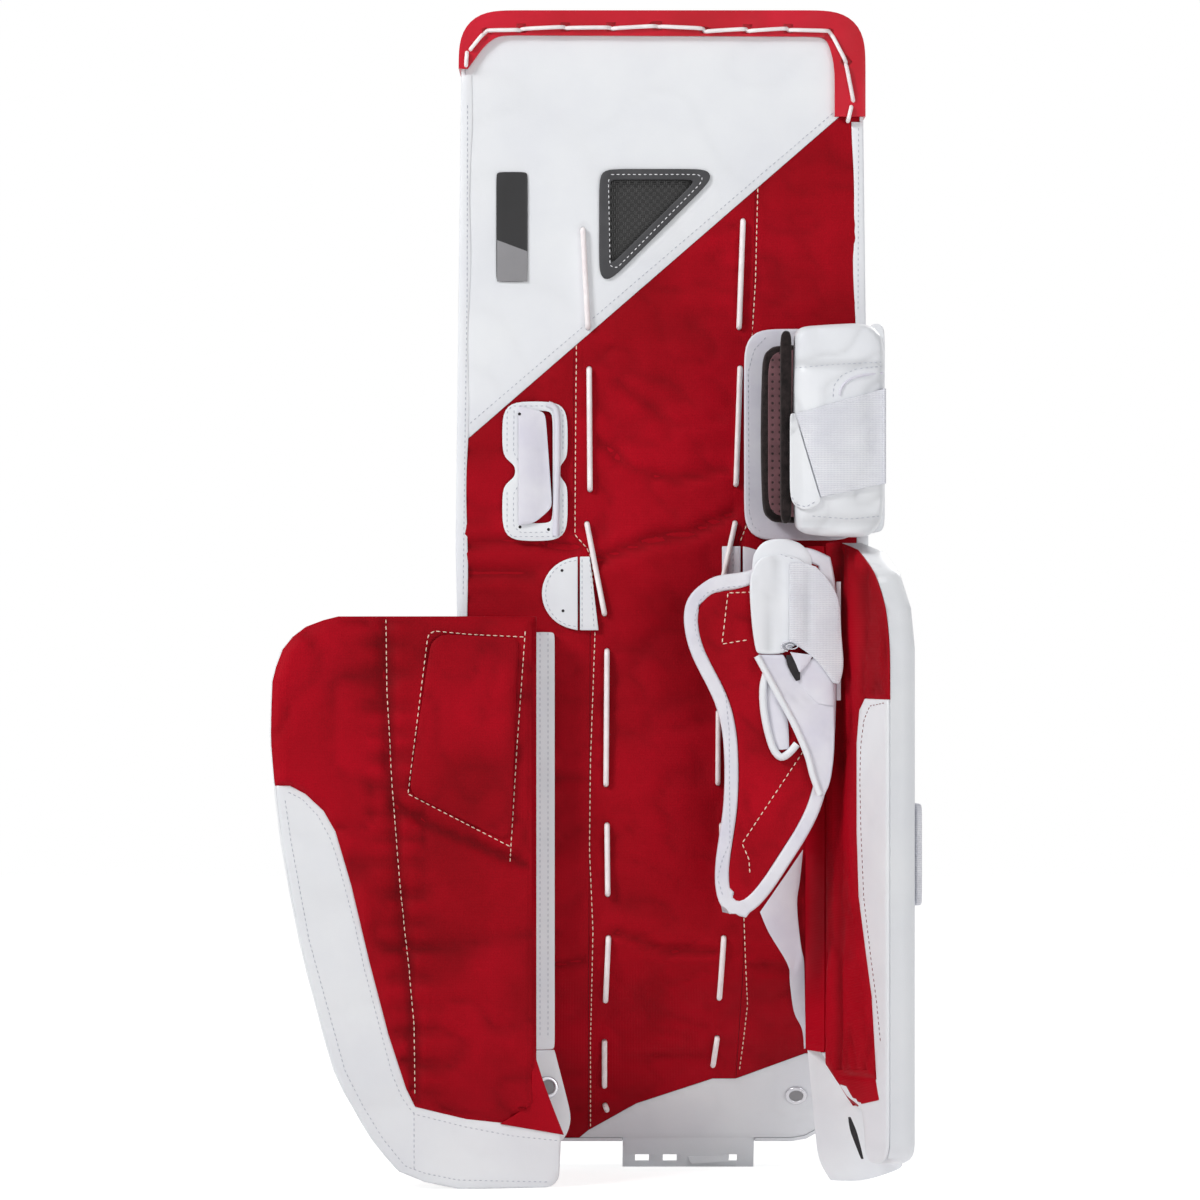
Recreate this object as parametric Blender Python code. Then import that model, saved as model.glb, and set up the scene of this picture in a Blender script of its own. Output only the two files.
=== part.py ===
"""A goaltender's leg pad for ice hockey, standing upright, seen from the leg side along +Y.

X runs across the pad, Y from the leg side to the shooting face, Z up from the floor.
While the pieces are drawn, Y = 0 is the leg-side face and X = 0 the middle of the pad.
At the end one empty carries the whole pad so that the origin is under its middle, on the floor.
"""

from math import atan2, ceil, cos, hypot, pi, radians, sin, tan

import bmesh
import bpy
from mathutils import Matrix, Vector

# --- sizes in metres ----------------------------------------------------------------------------
GAP = 0.0003                # clearance between neighbouring pieces
ARC_STEP = radians(22.5)    # the turn of one straight step along a rounded corner

# the pad's body
PAD_TOP = 0.8185
TOE_HEIGHT = 0.020          # the lower edge of the padding above the floor
TOP_HALF = 0.140            # half widths, from the thigh down to the toe
KNEE_HALF = 0.1445
BREAK_HALF = 0.138
TOE_HALF = 0.120
PAD_DEPTH = 0.063
TOP_CORNER = 0.022
TOE_CORNER = 0.030
FACE_ROUND = 0.010          # the soft edge round the shooting face
COVER_WALL = 0.0025
PANEL = 0.0025              # the leg-side panels
KNEE_BREAK = 0.446          # the height where the thigh rise folds
BOOT_BREAK = 0.155          # the height where the boot starts to lean forward
BOOT_LEAN = 0.67            # forward travel of the boot for each metre down
LEAN_STEP = 0.013           # the lean comes in over three of these steps

# the seams between the leg-side panels
DIAGONAL_MIDDLE = 0.639     # the height of the slanted seam at X = 0
DIAGONAL_SLOPE = 0.867
OUTER_SEAM_TOP = -0.0616
OUTER_SEAM_KNEE = -0.0623
OUTER_SEAM_SHIN = -0.0500
INNER_SEAM_TOP = 0.0655
INNER_SEAM_KNEE = 0.0602
INNER_SEAM_SHIN = 0.0532
SEAM_JOG = 0.012            # the height over which both seams step inwards below the knee
LINER_LOW = 0.0285          # the liner's upper edge where the outer seam meets it
LINER_MIDDLE = 0.068
LINER_HIGH = 0.087

# the stiffening sheet and the window that shows it
PLATE = 0.0020
PLATE_TOP = 0.730
PLATE_BOTTOM = 0.200
PLATE_MARGIN = 0.0065       # from a lace's middle line to the sheet's edge
WINDOW_LEFT = -0.0440
WINDOW_TOP = 0.7100
WINDOW_WIDTH = 0.0865
WINDOW_HEIGHT = 0.0860
WINDOW_ROUND = 0.0055
WINDOW_FRAME = 0.0075
FRAME_THICK = 0.0016

# laces
LACE_RADIUS = 0.0018
LACE_RISE = 0.0016          # half the length over which a lace dives through the panel
LACE_TAIL = 0.006
LACE_PLAY = 0.0017          # room round a lace in its hole
TOP_LACE_RADIUS = 0.0014
TOP_LACE_RUN = 0.0032       # the length over which it dips into the roll
TOP_LACE_DIP = -0.0033      # the middle of the top lace where it dips

# binding over the top edge
BINDING_WALL = 0.0023
BINDING_REAR = 0.0038
BINDING_BAND = 0.0162       # visible width on the leg side
BINDING_END_OUTER = 0.780   # how far down it reaches on the two sides
BINDING_END_INNER = 0.7465
BINDING_WIDE = 0.0215       # its width down the inner side

# label, anchor patch and D tabs
LABEL_SIZE = (0.022, 0.077)
LABEL_CENTRE = (-0.105, 0.6695)
LABEL_THICK = 0.0006
LEATHER = 0.0020
ANCHOR_WIDTH = 0.0457
ANCHOR_HEIGHT = 0.0976
ANCHOR_CENTRE = (-0.0889, 0.4985)
ANCHOR_NOTCH = (0.0093, 0.0057)
ANCHOR_SLOT = (0.0228, 0.079)
ANCHOR_LEAF = 0.0015
D_RADIUS = 0.0258
D_STRIP = 0.0130
D_HINGE = 0.0014            # the bare fold between strip and tab
D_OUTER = (-0.0444, 0.4130)
D_OUTER_SLANT = -0.0062     # how far the strip's sewn edge draws in towards its top
D_INNER = (0.0420, 0.4210)
D_INNER_RADIUS = 0.0250

# outer flap, drawn flat from its hinge line
FLAP_HINGE_X = -0.076
FLAP_HINGE_Y = -0.0022
FLAP_TILT = radians(8)
FLAP_REACH = 0.199
FLAP_TOP = 0.3965
FLAP_BOTTOM = 0.0
FLAP_THICK = 0.025
FLAP_START = 0.0155         # from the hinge line to the padded part
FLAP_CORNER = 0.046
FLAP_EDGE = 0.006
FLAP_CROWN = 0.003
SHEET = 0.0022              # the red lining sheets
STRIP_THICK = 0.0030
STRIP_TOP = 0.386
STRIP_BOTTOM = 0.094
POCKET_THICK = 0.0030

# inner wall, drawn flat from its hinge line
WALL_HINGE_X = 0.102
WALL_HINGE_Y = -0.0030
WALL_ANGLE = radians(65)
WALL_REACH = 0.120
WALL_TOP = 0.4480
WALL_THICK = 0.024
WALL_START = 0.028
WALL_CORNER = 0.072
WALL_CROWN = 0.002
LOOP_THICK = 0.0040
GUSSET_WIDTH = 0.0110
GUSSET_HIGH = 0.2300
GUSSET_LOW = 0.0880

# knee cradle
KNEE_LEFT = 0.0574
KNEE_LOW = 0.4500
KNEE_HIGH = 0.5980
KNEE_RIGHT = 0.1400
KNEE_BASE = 0.0040
KNEE_BORDER = 0.0110
KNEE_FOAM = 0.0220
KNEE_LINING = 0.0020
CRADLE_SIDE = 0.0120        # the side wall's thickness
CRADLE_DEPTH = 0.0880       # from the pad's face to the wrap's outside
WRAP_THICK = 0.0240
WRAP_LEFT = 0.0880
WRAP_LOW = 0.4545
WRAP_HIGH = 0.6010
WRAP_CORNER = 0.0180
LIP_WIDTH = 0.0075
LIP_THICK = 0.0160
STRAP_THICK = 0.0020
STRAP_LOW = 0.4800
STRAP_HIGH = 0.5400
STRAP_RISE = 0.0130         # the strap climbs this much across the wrap

# calf wrap
CALF_PLANE = -0.0580
CALF_HINGE_X = 0.1221
CALF_HINGE_THICK = 0.0015   # the thin strip that joins the wrap to the inner wall
CALF_HINGE_WIDTH = 0.0034
CALF_THICK = 0.0060
CALF_BINDING = 0.0080
CALF_BAND = 0.0095
CALF_TOP = 0.4460
TONGUE_THICK = 0.0040

# boot
BRIDGE_THICK = 0.0040
BRIDGE_LEFT = -0.0272
BRIDGE_RIGHT = 0.0672
BRIDGE_TUCK = 0.026         # how far the toe bridge reaches up behind the liner
BRIDGE_HOLE = (0.0100, 0.0050)
TAB_ANGLE = radians(20)
TAB_REACH = 0.063
TAB_TOP = STRIP_BOTTOM - GAP # it starts where the hinge strip ends
TAB_LEAN = 0.30
TAB_THICK = 0.0025
EYELET_RADIUS = 0.0080
EYELET_BORE = 0.0045
EYELET_THICK = 0.0016

FAR = 0.3                   # reach of cutters and seam regions past the pad

# --- tidy start ---------------------------------------------------------------------------------
for old in list(bpy.data.objects):
    bpy.data.objects.remove(old, do_unlink=True)

pad = bpy.data.collections.new("goalie_leg_pad")
cutters = bpy.data.collections.new("cutters")
bpy.context.scene.collection.children.link(pad)
bpy.context.scene.collection.children.link(cutters)


def empty(name, parent=None, matrix=Matrix()):
    """An empty with its place given in the drawing frame."""
    made = bpy.data.objects.new(name, None)
    made.empty_display_size = 0.03
    pad.objects.link(made)
    if parent is not None:
        made.parent = parent
        made.matrix_local = world_of[parent.name].inverted() @ matrix
    world_of[name] = matrix.copy()
    return made


def spot(x, y, turn=0.0):
    return Matrix.Translation((x, y, 0.0)) @ Matrix.Rotation(turn, 4, "Z")


world_of = {}
body = empty("pad_frame")


def material(name, colour, roughness, metallic=0.0):
    made = bpy.data.materials.new(name)
    made.use_nodes = True
    shader = made.node_tree.nodes["Principled BSDF"]
    shader.inputs["Base Color"].default_value = (*colour, 1.0)
    shader.inputs["Roughness"].default_value = roughness
    shader.inputs["Metallic"].default_value = metallic
    made.diffuse_color = (*colour, 1.0)
    return made


red_nylon = material("red_nylon", (0.39, 0.004, 0.012), 0.62)
red_leather = material("red_leather", (0.52, 0.006, 0.020), 0.38)
white_leather = material("white_leather", (0.79, 0.80, 0.83), 0.42)
white_webbing = material("white_webbing", (0.78, 0.77, 0.80), 0.75)
lace_cord = material("lace_cord", (0.84, 0.80, 0.80), 0.70)
foam = material("foam", (0.10, 0.10, 0.11), 0.90)
composite = material("composite", (0.011, 0.010, 0.010), 0.30)
dark_trim = material("dark_trim", (0.042, 0.042, 0.045), 0.50)
perforated_lining = material("perforated_lining", (0.15, 0.060, 0.066), 0.75)
black_pile = material("black_pile", (0.018, 0.014, 0.014), 0.95)
eyelet_metal = material("eyelet_metal", (0.55, 0.55, 0.58), 0.30, 1.0)


# --- outlines -----------------------------------------------------------------------------------
def rounded(corners):
    """Corners (x, z, radius) in order, with an arc in place of each corner that has a radius."""
    points = []
    count = len(corners)
    for index, (x, z, radius) in enumerate(corners):
        here = Vector((x, z))
        before = Vector(corners[index - 1][:2]) - here
        after = Vector(corners[(index + 1) % count][:2]) - here
        turn = pi - before.angle(after)
        if radius <= 0.0 or turn < radians(3):
            points.append((x, z))
            continue
        before.normalize()
        after.normalize()
        run = radius * tan(turn / 2)
        centre = here + (before + after).normalized() * (radius / cos(turn / 2))
        first = here + before * run - centre
        side = 1.0 if before.x * after.y - before.y * after.x < 0.0 else -1.0
        steps = max(2, ceil(turn / ARC_STEP))
        for step in range(steps + 1):
            angle = atan2(first.y, first.x) + side * turn * step / steps
            points.append((centre.x + radius * cos(angle), centre.y + radius * sin(angle)))
    return points


def smooth(knots, steps):
    """Points on a smooth open curve through the knots."""
    points = []
    last = len(knots) - 1
    for index in range(last):
        a, b, c, d = (Vector(knots[min(max(index + k, 0), last)]) for k in (-1, 0, 1, 2))
        for step in range(steps):
            t = step / steps
            spot_now = 0.5 * (2 * b + (c - a) * t + (2 * a - 5 * b + 4 * c - d) * t * t
                              + (3 * b - a - 3 * c + d) * t ** 3)
            points.append(tuple(spot_now))
    points.append(tuple(knots[-1]))
    return points


def area(points):
    return sum(a[0] * b[1] - b[0] * a[1] for a, b in zip(points, points[1:] + points[:1])) / 2


def inset(points, distance):
    """The outline moved inwards by a distance, or outwards by a negative one."""
    moved = []
    inward = 1.0 if area(points) > 0 else -1.0
    count = len(points)
    for index in range(count):
        here = Vector(points[index])
        before = (here - Vector(points[index - 1])).normalized()
        after = (Vector(points[(index + 1) % count]) - here).normalized()
        normal_a = Vector((-before.y, before.x)) * inward
        normal_b = Vector((-after.y, after.x)) * inward
        middle = (normal_a + normal_b).normalized()
        here += middle * distance / max(0.3, middle.dot(normal_a))
        moved.append(tuple(here))
    return moved


def mirrored(corners):
    """The same corners on the other side of X = 0, in reverse order."""
    return [(-corner[0], *corner[1:]) for corner in reversed(corners)]


def box_outline(left, right, low, high, radius=0.0):
    return rounded([(left, low, radius), (right, low, radius),
                    (right, high, radius), (left, high, radius)])


def circle(x, z, radius, sides=12):
    return [(x + radius * cos(2 * pi * k / sides), z + radius * sin(2 * pi * k / sides))
            for k in range(sides)]


# --- solids -------------------------------------------------------------------------------------
def add(name, mesh, paint, parent=None):
    made = bpy.data.objects.new(name, mesh)
    pad.objects.link(made)
    made.parent = parent or body
    mesh.materials.clear()
    mesh.materials.append(paint)
    mesh.shade_smooth()
    mesh.set_sharp_from_angle(angle=radians(32))
    return made


def plate(name, outlines, near, far):
    """A mesh with this outline, and holes where more outlines follow, from Y = near to far."""
    if isinstance(outlines[0][0], float):
        outlines = [outlines]
    curve = bpy.data.curves.new(name, "CURVE")
    curve.dimensions = "2D"
    curve.fill_mode = "BOTH"
    curve.extrude = (far - near) / 2
    for outline in outlines:
        spline = curve.splines.new("POLY")
        spline.points.add(len(outline) - 1)
        spline.use_cyclic_u = True
        for point, (x, z) in zip(spline.points, outline):
            point.co = (x, z, 0.0, 1.0)
    mesh = curve_mesh(name, curve)
    mesh.transform(Matrix.Translation((0, (near + far) / 2, 0)) @ Matrix.Rotation(pi / 2, 4, "X"))
    bm = bmesh.new()
    bm.from_mesh(mesh)
    if len(outlines) == 1:
        merge_caps(bm)
    bmesh.ops.recalc_face_normals(bm, faces=bm.faces)
    bm.to_mesh(mesh)
    bm.free()
    return mesh


def merge_caps(bm):
    """Make one face of each flat side."""
    caps = {face for face in bm.faces if abs(face.normal.y) > 0.99}
    inner = [edge for edge in bm.edges if len(edge.link_faces) == 2
             and all(face in caps for face in edge.link_faces)]
    bmesh.ops.dissolve_edges(bm, edges=inner, use_verts=False)


def curve_mesh(name, curve):
    """The curve as a closed mesh with welded caps."""
    carrier = bpy.data.objects.new(name, curve)
    cutters.objects.link(carrier)
    bpy.context.view_layer.update()
    mesh = bpy.data.meshes.new_from_object(
        carrier.evaluated_get(bpy.context.evaluated_depsgraph_get()))
    bpy.data.objects.remove(carrier)
    bpy.data.curves.remove(curve)
    bm = bmesh.new()
    bm.from_mesh(mesh)
    bmesh.ops.remove_doubles(bm, verts=bm.verts, dist=0.00001)
    bm.to_mesh(mesh)
    bm.free()
    return mesh


def soften(mesh, side, radius, segments=2, rises=()):
    """Round the edge of the face that looks along Y times side, then raise it in steps."""
    bm = bmesh.new()
    bm.from_mesh(mesh)
    merge_caps(bm)
    caps = [face for face in bm.faces if face.normal.y * side > 0.99]
    rim = [edge for face in caps for edge in face.edges
           if any(abs(other.normal.y) < 0.5 for other in edge.link_faces)]
    bmesh.ops.bevel(bm, geom=rim, offset=radius, offset_type="OFFSET", affect="EDGES",
                    segments=segments, profile=0.5, clamp_overlap=False)
    for width, rise in rises:
        top = max((face for face in bm.faces if face.normal.y * side > 0.99),
                  key=lambda face: face.calc_area())
        bmesh.ops.inset_region(bm, faces=[top], thickness=width, depth=rise,
                               use_even_offset=True, use_boundary=True)
    bm.to_mesh(mesh)
    bm.free()
    return mesh


def combine(mesh, tools, operation="DIFFERENCE"):
    """The mesh with each tool mesh cut from it, or kept in common with it."""
    target = bpy.data.objects.new("target", mesh)
    cutters.objects.link(target)
    for tool in tools:
        cutter = bpy.data.objects.new("cutter_" + tool.name, tool)
        cutter.hide_render = True
        cutter.display_type = "WIRE"
        cutters.objects.link(cutter)
        modifier = target.modifiers.new("cut", "BOOLEAN")
        modifier.operation = operation
        modifier.solver = "EXACT"
        modifier.object = cutter
    bpy.context.view_layer.update()
    result = bpy.data.meshes.new_from_object(
        target.evaluated_get(bpy.context.evaluated_depsgraph_get()))
    result.name = mesh.name
    bpy.data.objects.remove(target)
    return result


def lean(z):
    """How far forward the boot has leaned at a height."""
    starts = (BOOT_BREAK + LEAN_STEP, BOOT_BREAK, BOOT_BREAK - LEAN_STEP)
    return sum(max(0.0, start - z) for start in starts) * BOOT_LEAN / len(starts)


def leaned(mesh):
    """The mesh cut at the heights where the lean grows, with each part moved forward."""
    bm = bmesh.new()
    bm.from_mesh(mesh)
    for step in (1, 0, -1):
        bmesh.ops.bisect_plane(bm, geom=bm.verts[:] + bm.edges[:] + bm.faces[:], dist=0.00002,
                               plane_co=(0, 0, BOOT_BREAK + step * LEAN_STEP), plane_no=(0, 0, 1))
    for vert in bm.verts:
        vert.co.y += lean(vert.co.z)
    bm.to_mesh(mesh)
    bm.free()
    return mesh


def slab(low, high):
    """A cutter that keeps one length of the pad."""
    return plate("slab", box_outline(-FAR, FAR, low, high), -FAR, FAR)


def tube(name, route, radius, resolution=2):
    curve = bpy.data.curves.new(name, "CURVE")
    curve.dimensions = "3D"
    curve.bevel_depth = radius
    curve.bevel_resolution = resolution
    curve.use_fill_caps = True
    spline = curve.splines.new("POLY")
    spline.points.add(len(route) - 1)
    for point, place in zip(spline.points, route):
        point.co = (*place, 1.0)
    return curve_mesh(name, curve)


# --- the pad's body: covers, core, stiffening sheet ---------------------------------------------
pad_side = [(TOE_HALF, TOE_HEIGHT, TOE_CORNER), (BREAK_HALF, BOOT_BREAK, 0.0),
            (KNEE_HALF, KNEE_BREAK, 0.0), (TOP_HALF, PAD_TOP, TOP_CORNER)]
pad_outline = rounded(pad_side + mirrored(pad_side))
lining_outline = inset(pad_outline, COVER_WALL + GAP)


def outer_seam():
    """The seam between the channel and the outer panel, from the slanted seam to the liner."""
    return [(OUTER_SEAM_TOP, DIAGONAL_MIDDLE + DIAGONAL_SLOPE * OUTER_SEAM_TOP),
            (OUTER_SEAM_KNEE, KNEE_BREAK + 0.008), (OUTER_SEAM_SHIN, KNEE_BREAK + 0.008 - SEAM_JOG),
            (OUTER_SEAM_SHIN - 0.0018, LINER_LOW)]


def inner_seam():
    return [(INNER_SEAM_TOP, DIAGONAL_MIDDLE + DIAGONAL_SLOPE * INNER_SEAM_TOP),
            (INNER_SEAM_KNEE, KNEE_BREAK + 0.018), (INNER_SEAM_SHIN, KNEE_BREAK + 0.018 - SEAM_JOG),
            (INNER_SEAM_SHIN + 0.004, BOOT_BREAK), (INNER_SEAM_SHIN, LINER_MIDDLE)]


def liner_seam():
    """The liner's upper edge, from the pad's lower edge across to the inner side."""
    outer_end = outer_seam()[-1]
    inner_end = inner_seam()[-1]
    return [(outer_end[0] - 0.012, TOE_HEIGHT - 0.002), outer_end, (-0.0175, LINER_LOW + 0.0205),
            (inner_end[0] - 0.0165, LINER_MIDDLE), inner_end, (0.1020, LINER_HIGH),
            (FAR, LINER_HIGH + 0.010)]


def lace_line(stops):
    """The middle line of a lace as a function of height."""
    ordered = sorted((z, x) for x, z in stops)

    def across(z):
        for (low, x0), (high, x1) in zip(ordered, ordered[1:]):
            if z <= high:
                break
        return x0 + (x1 - x0) * (z - low) / (high - low)

    return across


# the stitches of the two long laces, from the top down, as (x, z) pairs of exit and entry
outer_stitches = [((-0.0553, 0.6680), (-0.0518, 0.5990)), ((-0.0510, 0.5705), (-0.0504, 0.4855)),
                  ((-0.0526, 0.4620), (-0.0402, 0.3985)), ((-0.0385, 0.3730), (-0.0392, 0.2790)),
                  ((-0.0385, 0.2510), (-0.0380, 0.2020)), ((-0.0375, 0.1720), (-0.0395, 0.1260)),
                  ((-0.0402, 0.0960), (-0.0402, 0.0620)), ((-0.0398, 0.0480), (-0.0384, 0.0440))]
inner_stitches = [((0.0567, 0.6740), (0.0539, 0.5990)), ((0.0546, 0.5710), (0.0518, 0.4890)),
                  ((0.0512, 0.4625), (0.0385, 0.4050)), ((0.0395, 0.3300), (0.0392, 0.2800)),
                  ((0.0418, 0.2510), (0.0430, 0.2010)), ((0.0432, 0.1720), (0.0405, 0.1280)),
                  ((0.0395, 0.0990), (0.0368, 0.0780))]
outer_lace_x = lace_line([stop for stitch in outer_stitches for stop in stitch])
inner_lace_x = lace_line([stop for stitch in inner_stitches for stop in stitch])

lace_reach = LACE_RADIUS * hypot(1.0, BOOT_LEAN)    # half a lace, measured along Y on the boot
SURFACE = -(GAP + lace_reach)                   # the middle of a lace lying on a panel
UNDER = PANEL + GAP + lace_reach                # and of one running behind it


def lace_route(stitches, hump=()):
    """Down the pad: over the panel along each stitch, behind it between two.

    A hump gives the heights at which one stitch climbs on a strip, runs on it and leaves it."""
    route = [(stitches[0][0][0], UNDER, stitches[0][0][1] + LACE_TAIL)]
    for (x0, z0), (x1, z1) in stitches:
        route += [(x0, UNDER, z0 + LACE_RISE), (x0, SURFACE, z0 - LACE_RISE)]
        for index, height in enumerate(hump):
            if z1 < height < z0:
                raised = SURFACE - (LEATHER + GAP if index else 0.0)
                route.append((x0 + (x1 - x0) * (z0 - height) / (z0 - z1), raised, height))
        levels = [BOOT_BREAK + step * LEAN_STEP for step in (1, 0, -1)]
        for level in levels:
            if z1 + 1.5 * LACE_RISE < level < z0 - 1.5 * LACE_RISE:
                route.append((x0 + (x1 - x0) * (z0 - level) / (z0 - z1), SURFACE, level))
        route += [(x1, SURFACE, z1 + LACE_RISE), (x1, UNDER, z1 - LACE_RISE)]
    last_x, last_z = stitches[-1][1]
    route.append((last_x, UNDER, last_z - LACE_TAIL))
    return [(x, y + lean(z), z) for x, y, z in route]


def lace_holes(stitches):
    radius = LACE_RADIUS + LACE_PLAY
    return [plate("lace_hole", circle(x, z, radius, 8), -0.01, PANEL + 0.01)
            for stitch in stitches for x, z in stitch]


def groove(stitches):
    """A channel in the foam behind a lace."""
    stops = [stop for stitch in stitches for stop in stitch]
    half = LACE_RADIUS + 2 * GAP
    reach = LACE_TAIL + 0.003
    stops = [(stops[0][0], stops[0][1] + reach)] + stops + [(stops[-1][0], stops[-1][1] - reach)]
    outline = [(x - half, z) for x, z in stops] + [(x + half, z) for x, z in reversed(stops)]
    return plate("lace_groove", outline, -0.01, UNDER + lace_reach + 2 * GAP)


def rounded_block(name, outline, near, far, radius):
    return soften(plate(name, outline, near, far), 1, radius)


cover = combine(rounded_block("cover", pad_outline, 0.0, PAD_DEPTH, FACE_ROUND),
                [rounded_block("cover_pocket", inset(pad_outline, COVER_WALL), -0.01,
                               PAD_DEPTH - COVER_WALL, FACE_ROUND - COVER_WALL)])

sheet_outline = [(outer_lace_x(PLATE_TOP) + PLATE_MARGIN, PLATE_TOP)]
for height in (outer_stitches[1][1][1], outer_stitches[2][1][1], PLATE_BOTTOM):
    sheet_outline.append((outer_lace_x(height) + PLATE_MARGIN, height))
for height in (PLATE_BOTTOM, inner_stitches[2][1][1], inner_stitches[1][1][1], PLATE_TOP):
    sheet_outline.append((inner_lace_x(height) - PLATE_MARGIN, height))

foam_near = PANEL + GAP
core = combine(rounded_block("core", lining_outline, foam_near, PAD_DEPTH - COVER_WALL - GAP,
                             FACE_ROUND - COVER_WALL - GAP),
               [groove(outer_stitches), groove(inner_stitches),
                plate("sheet_pocket", inset(sheet_outline, -GAP), -0.01,
                      foam_near + PLATE + GAP),
                plate("bridge_pocket",
                      box_outline(BRIDGE_LEFT - GAP, BRIDGE_RIGHT + GAP, -0.1,
                                  TOE_HEIGHT + BRIDGE_TUCK + GAP),
                      -0.01, foam_near + BRIDGE_THICK + GAP)])

lengths = {"thigh": (KNEE_BREAK + GAP / 2, 1.0), "shin": (BOOT_BREAK + GAP / 2, KNEE_BREAK - GAP / 2),
           "boot": (-0.2, BOOT_BREAK - GAP / 2)}
for part_name, (low, high) in lengths.items():
    piece = combine(cover.copy(), [slab(low, high)], "INTERSECT")
    if part_name == "boot":
        piece = combine(piece, [plate("bridge_notch",
                                      box_outline(BRIDGE_LEFT - GAP, BRIDGE_RIGHT + GAP, -0.1,
                                                  TOE_HEIGHT + BRIDGE_TUCK),
                                      -0.01, foam_near + BRIDGE_THICK + GAP)])
    add("front_cover_" + part_name, leaned(piece), white_leather)
    piece = combine(core.copy(), [slab(low, high)], "INTERSECT")
    add("foam_core_" + part_name, leaned(piece), foam)

add("stiffener_sheet", plate("stiffener_sheet", sheet_outline, foam_near, foam_near + PLATE),
    composite)

# --- leg-side panels ----------------------------------------------------------------------------
def window(shrink):
    """The three-cornered window's outline, made smaller all round."""
    sharp = [(WINDOW_LEFT, WINDOW_TOP), (WINDOW_LEFT, WINDOW_TOP - WINDOW_HEIGHT),
             (WINDOW_LEFT + WINDOW_WIDTH, WINDOW_TOP)]
    radius = max(0.0015, WINDOW_ROUND - shrink / 2)
    return rounded([(x, z, radius) for x, z in inset(sharp, shrink)])


diagonal_left = (-FAR, DIAGONAL_MIDDLE - DIAGONAL_SLOPE * FAR)
diagonal_right = (FAR, DIAGONAL_MIDDLE + DIAGONAL_SLOPE * FAR)
liner_edge = liner_seam()
regions = {
    "rear_panel_top": [diagonal_left, outer_seam()[0], inner_seam()[0], diagonal_right,
                       (FAR, 1.2), (-FAR, 1.2)],
    "rear_panel_outer": [diagonal_left, (-FAR, -0.1), (liner_edge[0][0], -0.1), liner_edge[0]]
    + outer_seam()[::-1],
    "channel_panel": outer_seam() + liner_edge[2:4] + inner_seam()[::-1],
    "rear_panel_inner": inner_seam() + liner_edge[5:] + [diagonal_right],
    "boot_liner": [(liner_edge[0][0], -0.1), (FAR, -0.1)] + liner_edge[::-1],
}
panel_holes = {
    "rear_panel_top": [plate("window_hole", window(WINDOW_FRAME - 0.0015), -0.01, 0.01)],
    "channel_panel": lace_holes(outer_stitches[1:]) + lace_holes(inner_stitches),
    "boot_liner": lace_holes(outer_stitches[-1:]),
}
panel_holes["rear_panel_top"] += lace_holes(outer_stitches[:1])
for panel_name, region in regions.items():
    whole = plate("panel_sheet", lining_outline, 0.0, PANEL)
    piece = combine(whole, [plate("region", inset(region, GAP / 2), -0.02, 0.02)], "INTERSECT")
    if panel_name in panel_holes:
        piece = combine(piece, panel_holes[panel_name])
    add(panel_name, leaned(piece),
        white_leather if panel_name in ("rear_panel_top", "boot_liner") else red_nylon)

add("window_frame", plate("window_frame", [window(0.0), window(WINDOW_FRAME)],
                          -GAP - FRAME_THICK, -GAP), dark_trim)
label_x, label_z = LABEL_CENTRE
add("label_patch", plate("label_patch",
                         box_outline(label_x - LABEL_SIZE[0] / 2, label_x + LABEL_SIZE[0] / 2,
                                     label_z - LABEL_SIZE[1] / 2, label_z + LABEL_SIZE[1] / 2,
                                     0.001), -GAP - LABEL_THICK, -GAP), dark_trim)

add("lace_outer", tube("lace_outer", lace_route(outer_stitches), LACE_RADIUS), lace_cord)
tab_top = D_INNER[1] + D_INNER_RADIUS
add("lace_inner", tube("lace_inner", lace_route(inner_stitches, (tab_top + 0.006, tab_top + 0.0015,
                                                                 tab_top - 0.0350)),
                       LACE_RADIUS), lace_cord)

# --- binding and its lace -----------------------------------------------------------------------
side = TOP_HALF + BINDING_WALL
top = PAD_TOP + BINDING_WALL
band_low = top - BINDING_BAND - BINDING_WALL / 2
binding_outline = rounded([
    (-side, BINDING_END_OUTER, 0.0), (-side + 0.0065, BINDING_END_OUTER, 0.0),
    (-side + 0.0175, band_low - 0.008, 0.004), (-side + 0.027, band_low, 0.004),
    (side - BINDING_WIDE - 0.006, band_low - 0.001, 0.005),
    (side - BINDING_WIDE, band_low - 0.019, 0.0), (side - BINDING_WIDE, BINDING_END_INNER, 0.0),
    (side, BINDING_END_INNER, 0.0), (side, top, TOP_CORNER + BINDING_WALL),
    (-side, top, TOP_CORNER + BINDING_WALL)])
top_stitches = [((-0.1340, 0.7880), (-0.1265, 0.8040)),
                ((-0.1215, 0.8080), (-0.0995, 0.8080)), ((-0.0975, 0.8085), (-0.0690, 0.8090)),
                ((-0.0665, 0.8090), (-0.0370, 0.8090)), ((-0.0345, 0.8090), (-0.0050, 0.8100)),
                ((-0.0015, 0.8100), (0.0285, 0.8085)), ((0.0310, 0.8070), (0.0585, 0.8085)),
                ((0.0610, 0.8070), (0.0870, 0.8085)), ((0.0895, 0.8075), (0.1160, 0.8065)),
                ((0.1195, 0.8040), (0.1290, 0.7865)), ((0.1295, 0.7835), (0.1335, 0.7580))]


def pocket(x, z):
    """A blind hole where the top lace dips into the roll."""
    return plate("dip", circle(x, z, TOP_LACE_RADIUS + TOP_LACE_RUN, 8), -0.03,
                 TOP_LACE_DIP + TOP_LACE_RADIUS + GAP)


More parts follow.
